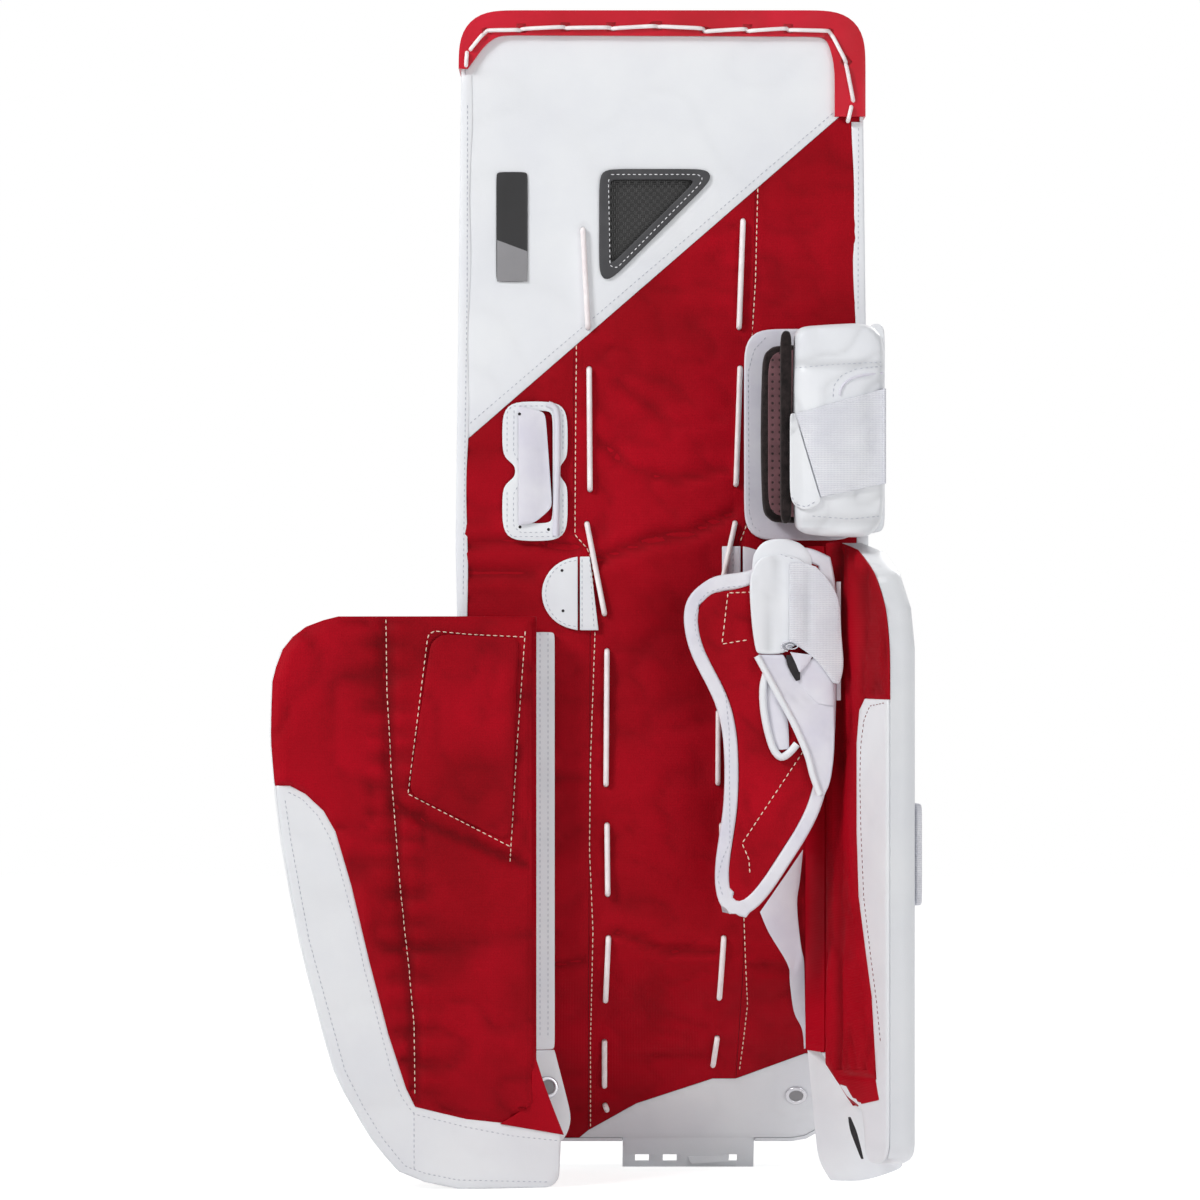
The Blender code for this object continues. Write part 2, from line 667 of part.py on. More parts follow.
def top_lace_route():
    over = -BINDING_REAR - 2 * GAP - TOP_LACE_RADIUS
    route = []
    for (x0, z0), (x1, z1) in top_stitches:
        back = TOP_LACE_RUN / hypot(x1 - x0, z1 - z0)
        ends = [(x0 + (x1 - x0) * back, z0 + (z1 - z0) * back),
                (x1 - (x1 - x0) * back, z1 - (z1 - z0) * back)]
        route += [(ends[0][0], over, ends[0][1]), (ends[1][0], over, ends[1][1])]
    joined = []
    for index in range(0, len(route), 2):
        joined += route[index:index + 2]
        if index + 2 < len(route):
            a, b = route[index + 1], route[index + 2]
            joined.append(((a[0] + b[0]) / 2, TOP_LACE_DIP, (a[2] + b[2]) / 2))
    return joined


top_route = top_lace_route()
dips = [pocket(x, z) for x, y, z in top_route if y > -BINDING_REAR]
binding = combine(rounded_block("top_binding", binding_outline, -BINDING_REAR,
                                PAD_DEPTH + BINDING_WALL, 0.004),
                  [rounded_block("binding_pocket", inset(pad_outline, -GAP), -GAP,
                                 PAD_DEPTH + GAP, FACE_ROUND)] + dips)
add("top_binding", binding, red_leather)
add("top_lace", tube("top_lace", top_route, TOP_LACE_RADIUS), lace_cord)

# --- anchor patch and D tabs --------------------------------------------------------------------
anchor_x, anchor_z = ANCHOR_CENTRE
a_left, a_right = anchor_x - ANCHOR_WIDTH / 2, anchor_x + ANCHOR_WIDTH / 2
a_low, a_high = anchor_z - ANCHOR_HEIGHT / 2, anchor_z + ANCHOR_HEIGHT / 2
anchor_outline = rounded([
    (a_left, a_low, 0.009), (a_right, a_low, 0.009),
    (a_right, anchor_z - 0.009, 0.005), (a_right - ANCHOR_NOTCH[1], anchor_z - 0.004, 0.003),
    (a_right - ANCHOR_NOTCH[1], anchor_z + 0.004, 0.003), (a_right, anchor_z + 0.009, 0.005),
    (a_right, a_high, 0.009), (a_left, a_high, 0.009),
    (a_left, anchor_z + 0.010, 0.006), (a_left + ANCHOR_NOTCH[0], anchor_z + 0.004, 0.003),
    (a_left + ANCHOR_NOTCH[0], anchor_z - 0.004, 0.003), (a_left, anchor_z - 0.010, 0.006)])
slot_left = a_left + 0.0125
slot_low = anchor_z - ANCHOR_SLOT[1] / 2 + 0.003
anchor_slot = box_outline(slot_left, slot_left + ANCHOR_SLOT[0], slot_low,
                          slot_low + ANCHOR_SLOT[1], 0.003)
add("anchor_patch", plate("anchor_patch", [anchor_outline, anchor_slot], -GAP - LEATHER, -GAP),
    white_leather)

leaf_y = -GAP - LEATHER - GAP - ANCHOR_LEAF / 2
leaf_pivot = empty("anchor_tab_fold", body, spot(slot_left - 0.0015, leaf_y))
leaf_width = ANCHOR_SLOT[0] + 0.0012
leaf_outline = rounded([(0.0003, slot_low - 0.0015, 0.0), (leaf_width * 0.48, slot_low, 0.002),
                        (leaf_width, slot_low + 0.0110, 0.002),
                        (leaf_width * 0.80, slot_low + ANCHOR_SLOT[1] - 0.001, 0.003),
                        (0.0003, slot_low + ANCHOR_SLOT[1] + 0.003, 0.0)])
add("anchor_tab", plate("anchor_tab", leaf_outline, -ANCHOR_LEAF / 2, ANCHOR_LEAF / 2),
    white_leather, leaf_pivot)


def d_tab(name, edge, radius, side, slant):
    """A strip sewn to the pad at x = edge and a half-round tab that folds away from it."""
    x, z = edge
    strip_end = x + side * D_STRIP
    strip = [(x, z - radius), (strip_end, z - radius), (strip_end, z + radius),
             (x + slant, z + radius)]
    add(name + "_strip", plate(name + "_strip", strip, -GAP - LEATHER, -GAP), white_leather)
    middle = -GAP - LEATHER / 2
    pivot = empty(name + "_fold", body, spot(strip_end + side * D_HINGE, middle))
    steps = 12
    arc = [(side * (0.0002 + radius * cos(pi * k / steps - pi / 2)),
            z + radius * sin(pi * k / steps - pi / 2)) for k in range(steps + 1)]
    add(name, plate(name, arc, -LEATHER / 2, LEATHER / 2), white_leather, pivot)


d_tab("d_tab_outer", D_OUTER, D_RADIUS, -1, D_OUTER_SLANT)
d_tab("d_tab_inner", D_INNER, D_INNER_RADIUS, 1, 0.0)

# --- padded boards: shell, foam and lining ------------------------------------------------------
def crown(rise):
    """The steps in which a padded face rises from its edge."""
    return [(0.0025, rise * 0.6), (0.0035, rise * 0.4)]


def padded_board(prefix, outline, near, far, parent, rise, guard):
    """A shell open towards -Y, foam in it, and a lining sheet and an edge guard that close it."""
    wall = COVER_WALL
    floor = far - wall - FLAP_EDGE / 3
    shell = soften(plate(prefix + "_shell", outline, near + SHEET + GAP, far), 1, FLAP_EDGE)
    hollow = plate("hollow", inset(outline, wall), near - 0.01, floor)
    add(prefix + "_shell", combine(shell, [hollow]), white_leather, parent)
    add(prefix + "_foam", plate(prefix + "_foam", inset(outline, wall + GAP),
                                near + SHEET + 2 * GAP, floor - GAP), foam, parent)
    whole = plate(prefix + "_sheet", inset(outline, GAP), near, near + SHEET)
    lining = combine(whole.copy(), [plate("guard_area", inset(guard, -GAP), near - 0.01,
                                          near + 0.01)])
    edge_guard = combine(whole, [plate("guard_area", guard, near - 0.01, near + 0.01)],
                         "INTERSECT")
    add(prefix + "_lining", soften(lining, -1, SHEET * 0.6, 2, crown(rise)), red_nylon, parent)
    add(prefix + "_guard", soften(edge_guard, -1, SHEET * 0.6), white_leather, parent)


# --- outer flap ---------------------------------------------------------------------------------
flap_pivot = empty("outer_flap_hinge", body, spot(FLAP_HINGE_X, FLAP_HINGE_Y, FLAP_TILT))
flap_low = FLAP_BOTTOM
flap_left = smooth([(-FLAP_REACH + 0.001, 0.352), (-FLAP_REACH, 0.318), (-FLAP_REACH + 0.0012, 0.296),
                    (-FLAP_REACH + 0.007, 0.243), (-FLAP_REACH + 0.020, 0.172),
                    (-FLAP_REACH + 0.031, 0.129), (-FLAP_REACH + 0.044, 0.082),
                    (-FLAP_REACH + 0.058, 0.055), (-FLAP_REACH + 0.071, 0.033),
                    (-FLAP_REACH + 0.088, flap_low + 0.0125)], 2)
flap_top_left = [(-FLAP_REACH + FLAP_CORNER, FLAP_TOP), (-FLAP_REACH + 0.0240, FLAP_TOP - 0.0070),
                 (-FLAP_REACH + 0.0080, FLAP_TOP - 0.0225)]
flap_bottom = rounded([(-FLAP_REACH + 0.088, flap_low + 0.0125, 0.0),
                       (-FLAP_REACH + 0.106, flap_low + 0.005, 0.0), (-0.070, flap_low, 0.0),
                       (0.001, flap_low, 0.010), (0.003, 0.045, 0.010),
                       (-FLAP_START, 0.054, 0.0), (-FLAP_START, FLAP_TOP, 0.0)])
flap_outline = smooth(flap_top_left + flap_left[:1], 2)[:-1] + flap_left + flap_bottom[1:]
flap_near = -FLAP_THICK
guard_edge = [(-FLAP_REACH - 0.02, 0.281), (-FLAP_REACH + 0.0125, 0.2805),
              (-FLAP_REACH + 0.0235, 0.2746), (-FLAP_REACH + 0.036, 0.2629),
              (-FLAP_REACH + 0.0443, 0.2484), (-FLAP_REACH + 0.0553, 0.2110),
              (-FLAP_REACH + 0.0677, 0.1587), (-FLAP_REACH + 0.0809, 0.1082),
              (-FLAP_REACH + 0.0933, 0.0702), (-FLAP_REACH + 0.0995, 0.0577), (-0.0642, 0.0488),
              (-0.0323, 0.0450), (-FLAP_START - 0.002, 0.0560), (0.02, 0.0560)]
flap_guard = guard_edge + [(0.02, -0.02), (-FLAP_REACH - 0.02, -0.02)]
padded_board("outer_flap", flap_outline, flap_near, 0.0, flap_pivot, FLAP_CROWN, flap_guard)

strip_outline = rounded([(0.0008, STRIP_BOTTOM, 0.001), (0.0008, STRIP_TOP, 0.001),
                         (-FLAP_START + GAP, STRIP_TOP, 0.001),
                         (-FLAP_START + GAP, STRIP_BOTTOM, 0.001)])
add("outer_hinge_strip", plate("outer_hinge_strip", strip_outline, -STRIP_THICK / 2,
                               STRIP_THICK / 2), white_leather, flap_pivot)

tab_outline = rounded([(-FLAP_START + GAP, STRIP_BOTTOM - GAP, 0.0), (0.0008, STRIP_BOTTOM - GAP, 0.0),
                       (0.0135, 0.0450, 0.008), (0.0080, 0.0280, 0.008), (-0.0130, 0.0280, 0.005)])
add("outer_boot_tab", plate("outer_boot_tab", tab_outline, GAP, GAP + LEATHER), white_leather,
    flap_pivot)


def eyelet(name, x, z, back):
    """A pressed ring whose back lies at Y = back."""
    return plate(name, [circle(x, z, EYELET_RADIUS, 16), circle(x, z, EYELET_BORE, 16)],
                 back - EYELET_THICK, back)


add("outer_eyelet", eyelet("outer_eyelet", -0.0045, 0.0675, 0.0), eyelet_metal, flap_pivot)
pocket_face = flap_near - FLAP_CROWN - GAP
pocket_outline = rounded([(-0.0285, 0.3820, 0.004), (-0.0335, 0.2400, 0.006),
                          (-0.1045, 0.2750, 0.010), (-0.0885, 0.3850, 0.012)])
add("flap_pocket", soften(plate("flap_pocket", pocket_outline, pocket_face - POCKET_THICK,
                                pocket_face), -1, POCKET_THICK * 0.6), red_nylon, flap_pivot)

# --- inner wall ---------------------------------------------------------------------------------
wall_pivot = empty("inner_wall_hinge", body, spot(WALL_HINGE_X, WALL_HINGE_Y, -WALL_ANGLE))
wall_near = -STRIP_THICK / 2
wall_outline = rounded([(WALL_START, 0.0860, 0.0), (0.0600, 0.0660, 0.0), (0.0820, 0.0600, 0.010),
                        (0.0880, 0.0240, 0.010), (WALL_REACH, 0.0240, 0.014),
                        (WALL_REACH, WALL_TOP, WALL_CORNER), (WALL_START, WALL_TOP, 0.0)])
wall_guard = [(WALL_REACH + 0.02, 0.341), (WALL_REACH - 0.034, 0.341), (WALL_REACH - 0.042, 0.333),
              (WALL_REACH - 0.046, 0.310), (WALL_REACH - 0.046, 0.250), (WALL_REACH - 0.043, 0.205),
              (WALL_REACH - 0.032, 0.165), (WALL_REACH - 0.024, 0.138), (WALL_REACH - 0.017, 0.082),
              (0.050, 0.080), (0.050, -0.02), (WALL_REACH + 0.02, -0.02)]
padded_board("inner_wall", wall_outline, wall_near, wall_near + WALL_THICK, wall_pivot,
             WALL_CROWN, wall_guard)
wall_strip = box_outline(-0.0008, WALL_START - GAP, STRIP_BOTTOM, WALL_TOP - 0.002, 0.001)
add("inner_hinge_strip", plate("inner_hinge_strip", wall_strip, -STRIP_THICK / 2,
                               STRIP_THICK / 2), red_nylon, wall_pivot)
loop_back = wall_near + WALL_THICK + GAP
loop_outline = box_outline(WALL_REACH - 0.032, WALL_REACH - 0.002, 0.2000, 0.2700, 0.002)
add("side_strap_loop", plate("side_strap_loop", loop_outline, loop_back, loop_back + LOOP_THICK),
    white_webbing, wall_pivot)
gusset_right = WALL_HINGE_X - 0.002
gusset = plate("inner_gusset", box_outline(gusset_right - GUSSET_WIDTH, gusset_right, GUSSET_LOW,
                                           GUSSET_HIGH, 0.002), -GAP - LEATHER, -GAP)
add("inner_gusset", leaned(gusset), white_leather)

# --- knee cradle --------------------------------------------------------------------------------
base_face = -GAP - KNEE_BASE
add("knee_base", plate("knee_base", box_outline(KNEE_LEFT, KNEE_RIGHT, KNEE_LOW, KNEE_HIGH, 0.012),
                       base_face, -GAP), white_leather)
pad_left = KNEE_LEFT + KNEE_BORDER
pad_low = KNEE_LOW + KNEE_BORDER
pad_high = KNEE_HIGH - KNEE_BORDER
pad_face = base_face - GAP - KNEE_FOAM
add("knee_base_pad", soften(plate("knee_base_pad", box_outline(pad_left, KNEE_RIGHT, pad_low,
                                                               pad_high, 0.012),
                                  pad_face, base_face - GAP), -1, 0.005, 3), black_pile)
lining_face = pad_face - GAP - KNEE_LINING
add("knee_base_lining", plate("knee_base_lining",
                              box_outline(pad_left + 0.005, KNEE_RIGHT - 0.005, pad_low + 0.005,
                                          pad_high - 0.005, 0.008),
                              lining_face, pad_face - GAP), perforated_lining)

side_left = KNEE_RIGHT + 0.0005
side_right = side_left + CRADLE_SIDE
cradle_hinge = (side_right, -GAP - 0.0010)
cradle = empty("knee_wrap_hinge", body, spot(*cradle_hinge))


def cradle_plate(name, outline, near, far):
    """A plate drawn in the pad's frame for a piece on the knee wrap's hinge."""
    return plate(name, [(x - cradle_hinge[0], z) for x, z in outline],
                 near - cradle_hinge[1], far - cradle_hinge[1])


wrap_inside = -CRADLE_DEPTH + WRAP_THICK
side_wall = cradle_plate("knee_side_wall",
                         box_outline(side_left, side_right, WRAP_LOW, WRAP_HIGH - 0.002, 0.004),
                         wrap_inside + GAP, -2 * GAP)
add("knee_side_wall", side_wall, white_leather, cradle)
wrap_outline = rounded([(WRAP_LEFT, WRAP_LOW + 0.004, 0.008), (side_right, WRAP_LOW, WRAP_CORNER),
                        (side_right, WRAP_HIGH, WRAP_CORNER), (WRAP_LEFT, WRAP_HIGH - 0.004, 0.008)])
wrap = cradle_plate("knee_wrap_pad", wrap_outline, -CRADLE_DEPTH, wrap_inside)
add("knee_wrap_pad", soften(soften(wrap, 1, 0.004), -1, 0.007, 3), white_leather, cradle)
wrap_lining = cradle_plate("knee_wrap_lining",
                           box_outline(WRAP_LEFT + 0.005, side_left - 0.001, WRAP_LOW + 0.010,
                                       WRAP_HIGH - 0.010, 0.006),
                           wrap_inside + GAP, wrap_inside + GAP + KNEE_LINING)
add("knee_wrap_lining", wrap_lining, perforated_lining, cradle)
lip_middle = -CRADLE_DEPTH + WRAP_THICK / 2
lip = cradle_plate("knee_wrap_lip", box_outline(WRAP_LEFT - GAP - LIP_WIDTH, WRAP_LEFT - GAP,
                                                WRAP_LOW + 0.006, WRAP_HIGH - 0.008, 0.003),
                   lip_middle - LIP_THICK / 2, lip_middle + LIP_THICK / 2)
add("knee_wrap_lip", lip, black_pile, cradle)

strap_face = -CRADLE_DEPTH - GAP - STRAP_THICK
strap_hinge = (side_right, strap_face + STRAP_THICK / 2)
strap_pivot = empty("knee_strap_fold", cradle, spot(*strap_hinge))
strap_edge = [(WRAP_LEFT + 0.0025, STRAP_HIGH - 0.004), (WRAP_LEFT + 0.0195, STRAP_LOW - 0.0015)]
strap_outline = strap_edge + [(side_right - 0.0005, STRAP_LOW + 0.008),
                              (side_right - 0.0005, STRAP_HIGH + STRAP_RISE)]
tongue_outline = rounded([(WRAP_LEFT - 0.0018, STRAP_HIGH - 0.004, 0.001),
                          (WRAP_LEFT - 0.0018, STRAP_LOW - 0.0065, 0.006),
                          (WRAP_LEFT + 0.0095, STRAP_LOW - 0.0115, 0.006),
                          (WRAP_LEFT + 0.0205, STRAP_LOW - 0.0050, 0.002),
                          (strap_edge[1][0] - 3 * GAP, strap_edge[1][1], 0.0),
                          (strap_edge[0][0] - 3 * GAP, strap_edge[0][1], 0.0)])
for piece_name, outline, paint in (("knee_strap", strap_outline, white_webbing),
                                   ("knee_strap_tongue", tongue_outline, white_leather)):
    mesh = plate(piece_name, [(x - strap_hinge[0], z) for x, z in outline], -STRAP_THICK / 2,
                 STRAP_THICK / 2)
    add(piece_name, mesh, paint, strap_pivot)

# --- calf wrap ----------------------------------------------------------------------------------
calf_pivot = empty("calf_wrap_hinge", wall_pivot, spot(CALF_HINGE_X, CALF_PLANE))
hinge_end = 0.0004
calf_right = hinge_end - CALF_HINGE_WIDTH
calf_low = 0.3393
calf_high = CALF_TOP - 0.025
calf_knots = [(-0.0221, CALF_TOP), (-0.0586, CALF_TOP - 0.0060), (-0.0826, CALF_TOP - 0.0185),
              (-0.1041, CALF_TOP - 0.0330), (-0.1081, CALF_TOP - 0.0530), (-0.1023, 0.3690),
              (-0.0876, 0.3414), (-0.0804, 0.3130), (-0.0803, 0.2660), (-0.0866, 0.2250),
              (-0.0836, 0.1970), (-0.0696, 0.1886), (-0.0526, 0.2010), (-0.0336, 0.2290),
              (-0.0146, 0.2610), (-0.0050, 0.3000), (calf_right, calf_low)]
calf_outline = smooth(calf_knots, 2) + [(calf_right, calf_high), (-0.007, CALF_TOP - 0.008)]
calf_half = CALF_BINDING / 2
add("calf_wrap_panel", plate("calf_wrap_panel", inset(calf_outline, CALF_BAND + GAP),
                             -CALF_THICK / 2, CALF_THICK / 2), red_nylon, calf_pivot)
add("calf_wrap_binding", plate("calf_wrap_binding", [calf_outline, inset(calf_outline, CALF_BAND)],
                               -calf_half, calf_half), white_leather, calf_pivot)
add("calf_hinge_strip", plate("calf_hinge_strip",
                              box_outline(calf_right + GAP, hinge_end, calf_low, calf_high),
                              -CALF_HINGE_THICK / 2, CALF_HINGE_THICK / 2), white_leather,
    calf_pivot)
tongue_back = -calf_half - GAP
tongue_low = 0.3712
calf_tongue = rounded([(-0.0600, CALF_TOP - 0.004, 0.012), (-0.0631, 0.4180, 0.0),
                       (-0.0609, 0.3880, 0.0), (-0.0581, tongue_low, 0.002),
                       (-0.0396, tongue_low, 0.002), (-0.0198, tongue_low + 0.014, 0.004),
                       (-0.0196, CALF_TOP - 0.008, 0.012)])
add("calf_wrap_tongue", plate("calf_wrap_tongue", calf_tongue, tongue_back - TONGUE_THICK,
                              tongue_back), white_leather, calf_pivot)
sling = [(-0.0571, tongue_low - GAP), (-0.0431, 0.3424), (-0.0287, 0.3156), (-0.0190, 0.2881),
         (-0.0122, 0.2730), (-0.0075, 0.2780), (-0.0040, 0.3060), (-0.0045, 0.3350),
         (-0.0142, 0.3396), (-0.0280, 0.3534), (-0.0396, tongue_low - GAP)]
add("calf_wrap_sling", plate("calf_wrap_sling", sling, tongue_back - TONGUE_THICK * 0.75,
                             tongue_back), white_leather, calf_pivot)
calf_strap_back = tongue_back - TONGUE_THICK - GAP
calf_strap_hinge = (CALF_HINGE_X - 0.0356, CALF_PLANE + calf_strap_back - STRAP_THICK / 2)
calf_strap_pivot = empty("calf_strap_fold", calf_pivot, spot(*calf_strap_hinge))
calf_strap = [(0.0002, 0.4340), (0.0160, 0.4340), (0.0238, 0.4270), (0.0330, 0.4140),
              (0.0355, 0.4060), (0.0355, 0.3850), (0.0385, 0.3613), (0.0345, 0.3506),
              (0.0303, 0.3513), (0.0179, 0.3692), (0.0002, 0.3802)]
add("calf_strap", plate("calf_strap", calf_strap, -STRAP_THICK / 2, STRAP_THICK / 2),
    white_webbing, calf_strap_pivot)

# --- boot: toe bridge, inner tab and eyelet -----------------------------------------------------
bridge_outline = box_outline(BRIDGE_LEFT, BRIDGE_RIGHT, 0.0, TOE_HEIGHT + BRIDGE_TUCK - GAP)
hole_width, hole_height = BRIDGE_HOLE
bridge_holes = [box_outline(x - hole_width / 2, x + hole_width / 2, 0.0045, 0.0045 + hole_height)
                for x in (BRIDGE_LEFT + 0.014, BRIDGE_LEFT + 0.034, BRIDGE_RIGHT - 0.017)]
add("toe_bridge", leaned(plate("toe_bridge", [bridge_outline] + bridge_holes, foam_near,
                               foam_near + BRIDGE_THICK)), white_leather)
add("inner_eyelet", leaned(eyelet("inner_eyelet", 0.0964, 0.0550, -GAP)), eyelet_metal)

tab_pivot = empty("inner_boot_tab_hinge", wall_pivot,
                  spot(WALL_HINGE_X, WALL_HINGE_Y, -TAB_ANGLE))
boot_tab = rounded([(0.0, 0.012, 0.0), (0.008, 0.0, 0.0), (0.032, 0.0, 0.0),
                    (TAB_REACH, 0.011, 0.004), (TAB_REACH - 0.004, 0.029, 0.006),
                    (TAB_REACH - 0.017, 0.042, 0.0), (0.033, 0.055, 0.0), (0.014, 0.085, 0.0),
                    (0.008, TAB_TOP, 0.0), (0.0, TAB_TOP, 0.0)])
slit = [(0.0250, 0.0440), (0.0268, 0.0450), (0.0330, 0.0190), (0.0312, 0.0185)]
mesh = plate("inner_boot_tab", [boot_tab, slit], -TAB_THICK / 2, TAB_THICK / 2)
for vertex in mesh.vertices:
    vertex.co.y += TAB_LEAN * (TAB_TOP - vertex.co.z)
add("inner_boot_tab", mesh, white_leather, tab_pivot)

# --- the origin goes under the middle of the pad ------------------------------------------------
bpy.context.view_layer.update()
corners = [piece.matrix_world @ Vector(corner) for piece in pad.objects if piece.type == "MESH"
           for corner in piece.bound_box]
body.location.x = -(min(c.x for c in corners) + max(c.x for c in corners)) / 2
body.location.y = -(min(c.y for c in corners) + max(c.y for c in corners)) / 2
bpy.context.view_layer.update()
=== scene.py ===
import math
import bmesh
import bpy
from mathutils import Matrix, Vector, kdtree, noise
from mathutils.bvhtree import BVHTree


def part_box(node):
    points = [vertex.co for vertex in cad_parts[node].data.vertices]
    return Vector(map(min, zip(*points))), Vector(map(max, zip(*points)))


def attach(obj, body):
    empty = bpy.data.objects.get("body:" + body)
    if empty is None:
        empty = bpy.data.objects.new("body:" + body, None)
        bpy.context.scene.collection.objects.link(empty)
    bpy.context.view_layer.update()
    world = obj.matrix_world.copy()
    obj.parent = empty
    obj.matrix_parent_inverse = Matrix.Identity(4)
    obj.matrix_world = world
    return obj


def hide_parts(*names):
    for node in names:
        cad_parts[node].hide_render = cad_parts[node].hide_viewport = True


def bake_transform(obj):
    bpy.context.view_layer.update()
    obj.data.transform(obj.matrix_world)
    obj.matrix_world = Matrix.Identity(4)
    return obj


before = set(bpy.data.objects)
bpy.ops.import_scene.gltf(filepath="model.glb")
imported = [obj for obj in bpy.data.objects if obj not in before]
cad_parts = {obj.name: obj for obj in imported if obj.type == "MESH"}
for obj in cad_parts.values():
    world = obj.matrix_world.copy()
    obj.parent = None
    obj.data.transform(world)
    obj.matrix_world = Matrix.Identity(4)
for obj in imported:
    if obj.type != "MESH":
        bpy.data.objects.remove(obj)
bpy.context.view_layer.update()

# the pad stands upright; its leg side looks along -Y, and all sizes are metres
coverLow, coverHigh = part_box("front_cover_thigh")
padX = (coverLow.x + coverHigh.x) / 2       # the middle of the pad
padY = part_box("rear_panel_top")[0].y        # the leg-side face


def place(x, y, turn=0.0):
    return (Matrix.Translation((padX + x, padY + y, 0.0))
            @ Matrix.Rotation(math.radians(turn), 4, "Z"))


# where each board is hinged, and how far it is turned from flat
padBase = place(0.0, 0.0)
flapBase = place(-0.076, -0.0022, 8.0)
wallBase = place(0.102, -0.0030, -65.0)
calfBase = place(0.1221, -0.0580)
tabBase = place(0.102, -0.0030, -20.0)

# --- camera and light ---
view = {"x": -0.0434, "height": 0.4084, "distance": 3.6, "frame": 0.84, "sensor": 36.0}
studio = {"worldStrength": 0.30, "keyPower": 62.0, "keySize": 0.8, "fillPower": 22.0,
          "fillSize": 1.6, "backPower": 44.0, "floorSize": 8.0}
eye = Vector((padX + view["x"], padY - view["distance"], view["height"]))
pixel = view["frame"] / 1200                # one pixel of the frame, at the leg-side face

cameraData = bpy.data.cameras.new("studioCamera")
cameraData.sensor_width = view["sensor"]
cameraData.lens = view["sensor"] * view["distance"] / view["frame"]
camera = bpy.data.objects.new("studioCamera", cameraData)
camera.location = eye
camera.rotation_euler = (math.radians(90), 0.0, 0.0)
bpy.context.scene.collection.objects.link(camera)
bpy.context.scene.camera = camera
bpy.context.scene.view_settings.view_transform = "Standard"


def colour(hexText, alpha=1.0):
    # an sRGB hex colour as Blender's linear one
    parts = [int(hexText[i:i + 2], 16) / 255 for i in (1, 3, 5)]
    linear = [c / 12.92 if c <= 0.04045 else ((c + 0.055) / 1.055) ** 2.4 for c in parts]
    return (*linear, alpha)


def node(tree, kind, values=None, feeds=None, **settings):
    made = tree.nodes.new(kind)
    for key, value in settings.items():
        setattr(made, key, value)
    for key, value in (values or {}).items():
        made.inputs[key].default_value = value
    for key, source in (feeds or {}).items():
        tree.links.new(source, made.inputs[key])
    return made


def addLamp(name, power, size, spot, aim):
    data = bpy.data.lights.new(name, "AREA")
    data.energy = power
    data.size = size
    lamp = bpy.data.objects.new(name, data)
    lamp.location = Vector(spot)
    lamp.rotation_euler = (Vector(aim) - Vector(spot)).to_track_quat("-Z", "Y").to_euler()
    bpy.context.scene.collection.objects.link(lamp)


aim = (padX, padY, 0.42)
addLamp("keyLamp", studio["keyPower"], studio["keySize"], (-2.1, -1.6, 2.3), aim)
addLamp("fillLamp", studio["fillPower"], studio["fillSize"], (1.6, -2.3, 0.40), aim)
addLamp("backLamp", studio["backPower"], studio["keySize"], (1.6, 2.2, 2.2), aim)


def feed(tree, socket, value):
    # value is another node's output or a plain number or colour
    if isinstance(value, bpy.types.NodeSocket):
        tree.links.new(value, socket)
    else:
        socket.default_value = value


def math2(tree, how, a, b):
    made = node(tree, "ShaderNodeMath", operation=how)
    feed(tree, made.inputs[0], a)
    feed(tree, made.inputs[1], b)
    return made.outputs[0]


def whiteForCamera(tree, other, strength, white):
    # the lens, glass and metal see plain white; everything else sees the other shader
    rays = node(tree, "ShaderNodeLightPath").outputs
    seen = math2(tree, "MAXIMUM", rays["Is Camera Ray"], rays["Is Glossy Ray"])
    seen = math2(tree, "MAXIMUM", seen, rays["Is Transmission Ray"])
    amount = math2(tree, "MULTIPLY", seen, strength)
    return node(tree, "ShaderNodeMixShader", feeds={0: amount, 1: other, 2: white})


world = bpy.data.worlds.new("softbox")
bpy.context.scene.world = world
world.use_nodes = True
sky = world.node_tree
sky.nodes.clear()
dim = node(sky, "ShaderNodeBackground", {"Color": colour("#FFFFFF"),
                                         "Strength": studio["worldStrength"]})
bright = node(sky, "ShaderNodeBackground", {"Color": colour("#FFFFFF"), "Strength": 1.0})
mix = whiteForCamera(sky, dim.outputs[0], 1.0, bright.outputs[0])
node(sky, "ShaderNodeOutputWorld", feeds={"Surface": mix.outputs[0]})

floorPaint = bpy.data.materials.new("paleFloor")
floorPaint.use_nodes = True
tree = floorPaint.node_tree
matt = tree.nodes["Principled BSDF"]
matt.inputs["Base Color"].default_value = colour("#F4F4F4")
matt.inputs["Roughness"].default_value = 0.9
glow = node(tree, "ShaderNodeEmission", {"Color": colour("#FFFFFF"), "Strength": 1.40})
mix = whiteForCamera(tree, matt.outputs[0], 0.60, glow.outputs[0])
tree.links.new(mix.outputs[0], tree.nodes["Material Output"].inputs["Surface"])

bm = bmesh.new()
bmesh.ops.create_grid(bm, x_segments=1, y_segments=1, size=studio["floorSize"] / 2)
floorMesh = bpy.data.meshes.new("floor")
bm.to_mesh(floorMesh)
bm.free()
floorMesh.materials.append(floorPaint)
floor = bpy.data.objects.new("floor", floorMesh)
bpy.context.scene.collection.objects.link(floor)
print("camera, light and floor are in place")

# --- materials ---
paints = {}
waveScale = 0.314                           # the wave texture's scale for one band a metre
# a crease this deep takes the full painted shade; its colour, and how much of it shows there
crease = {"deep": 0.0035, "dark": 0.35, "share": 0.65}


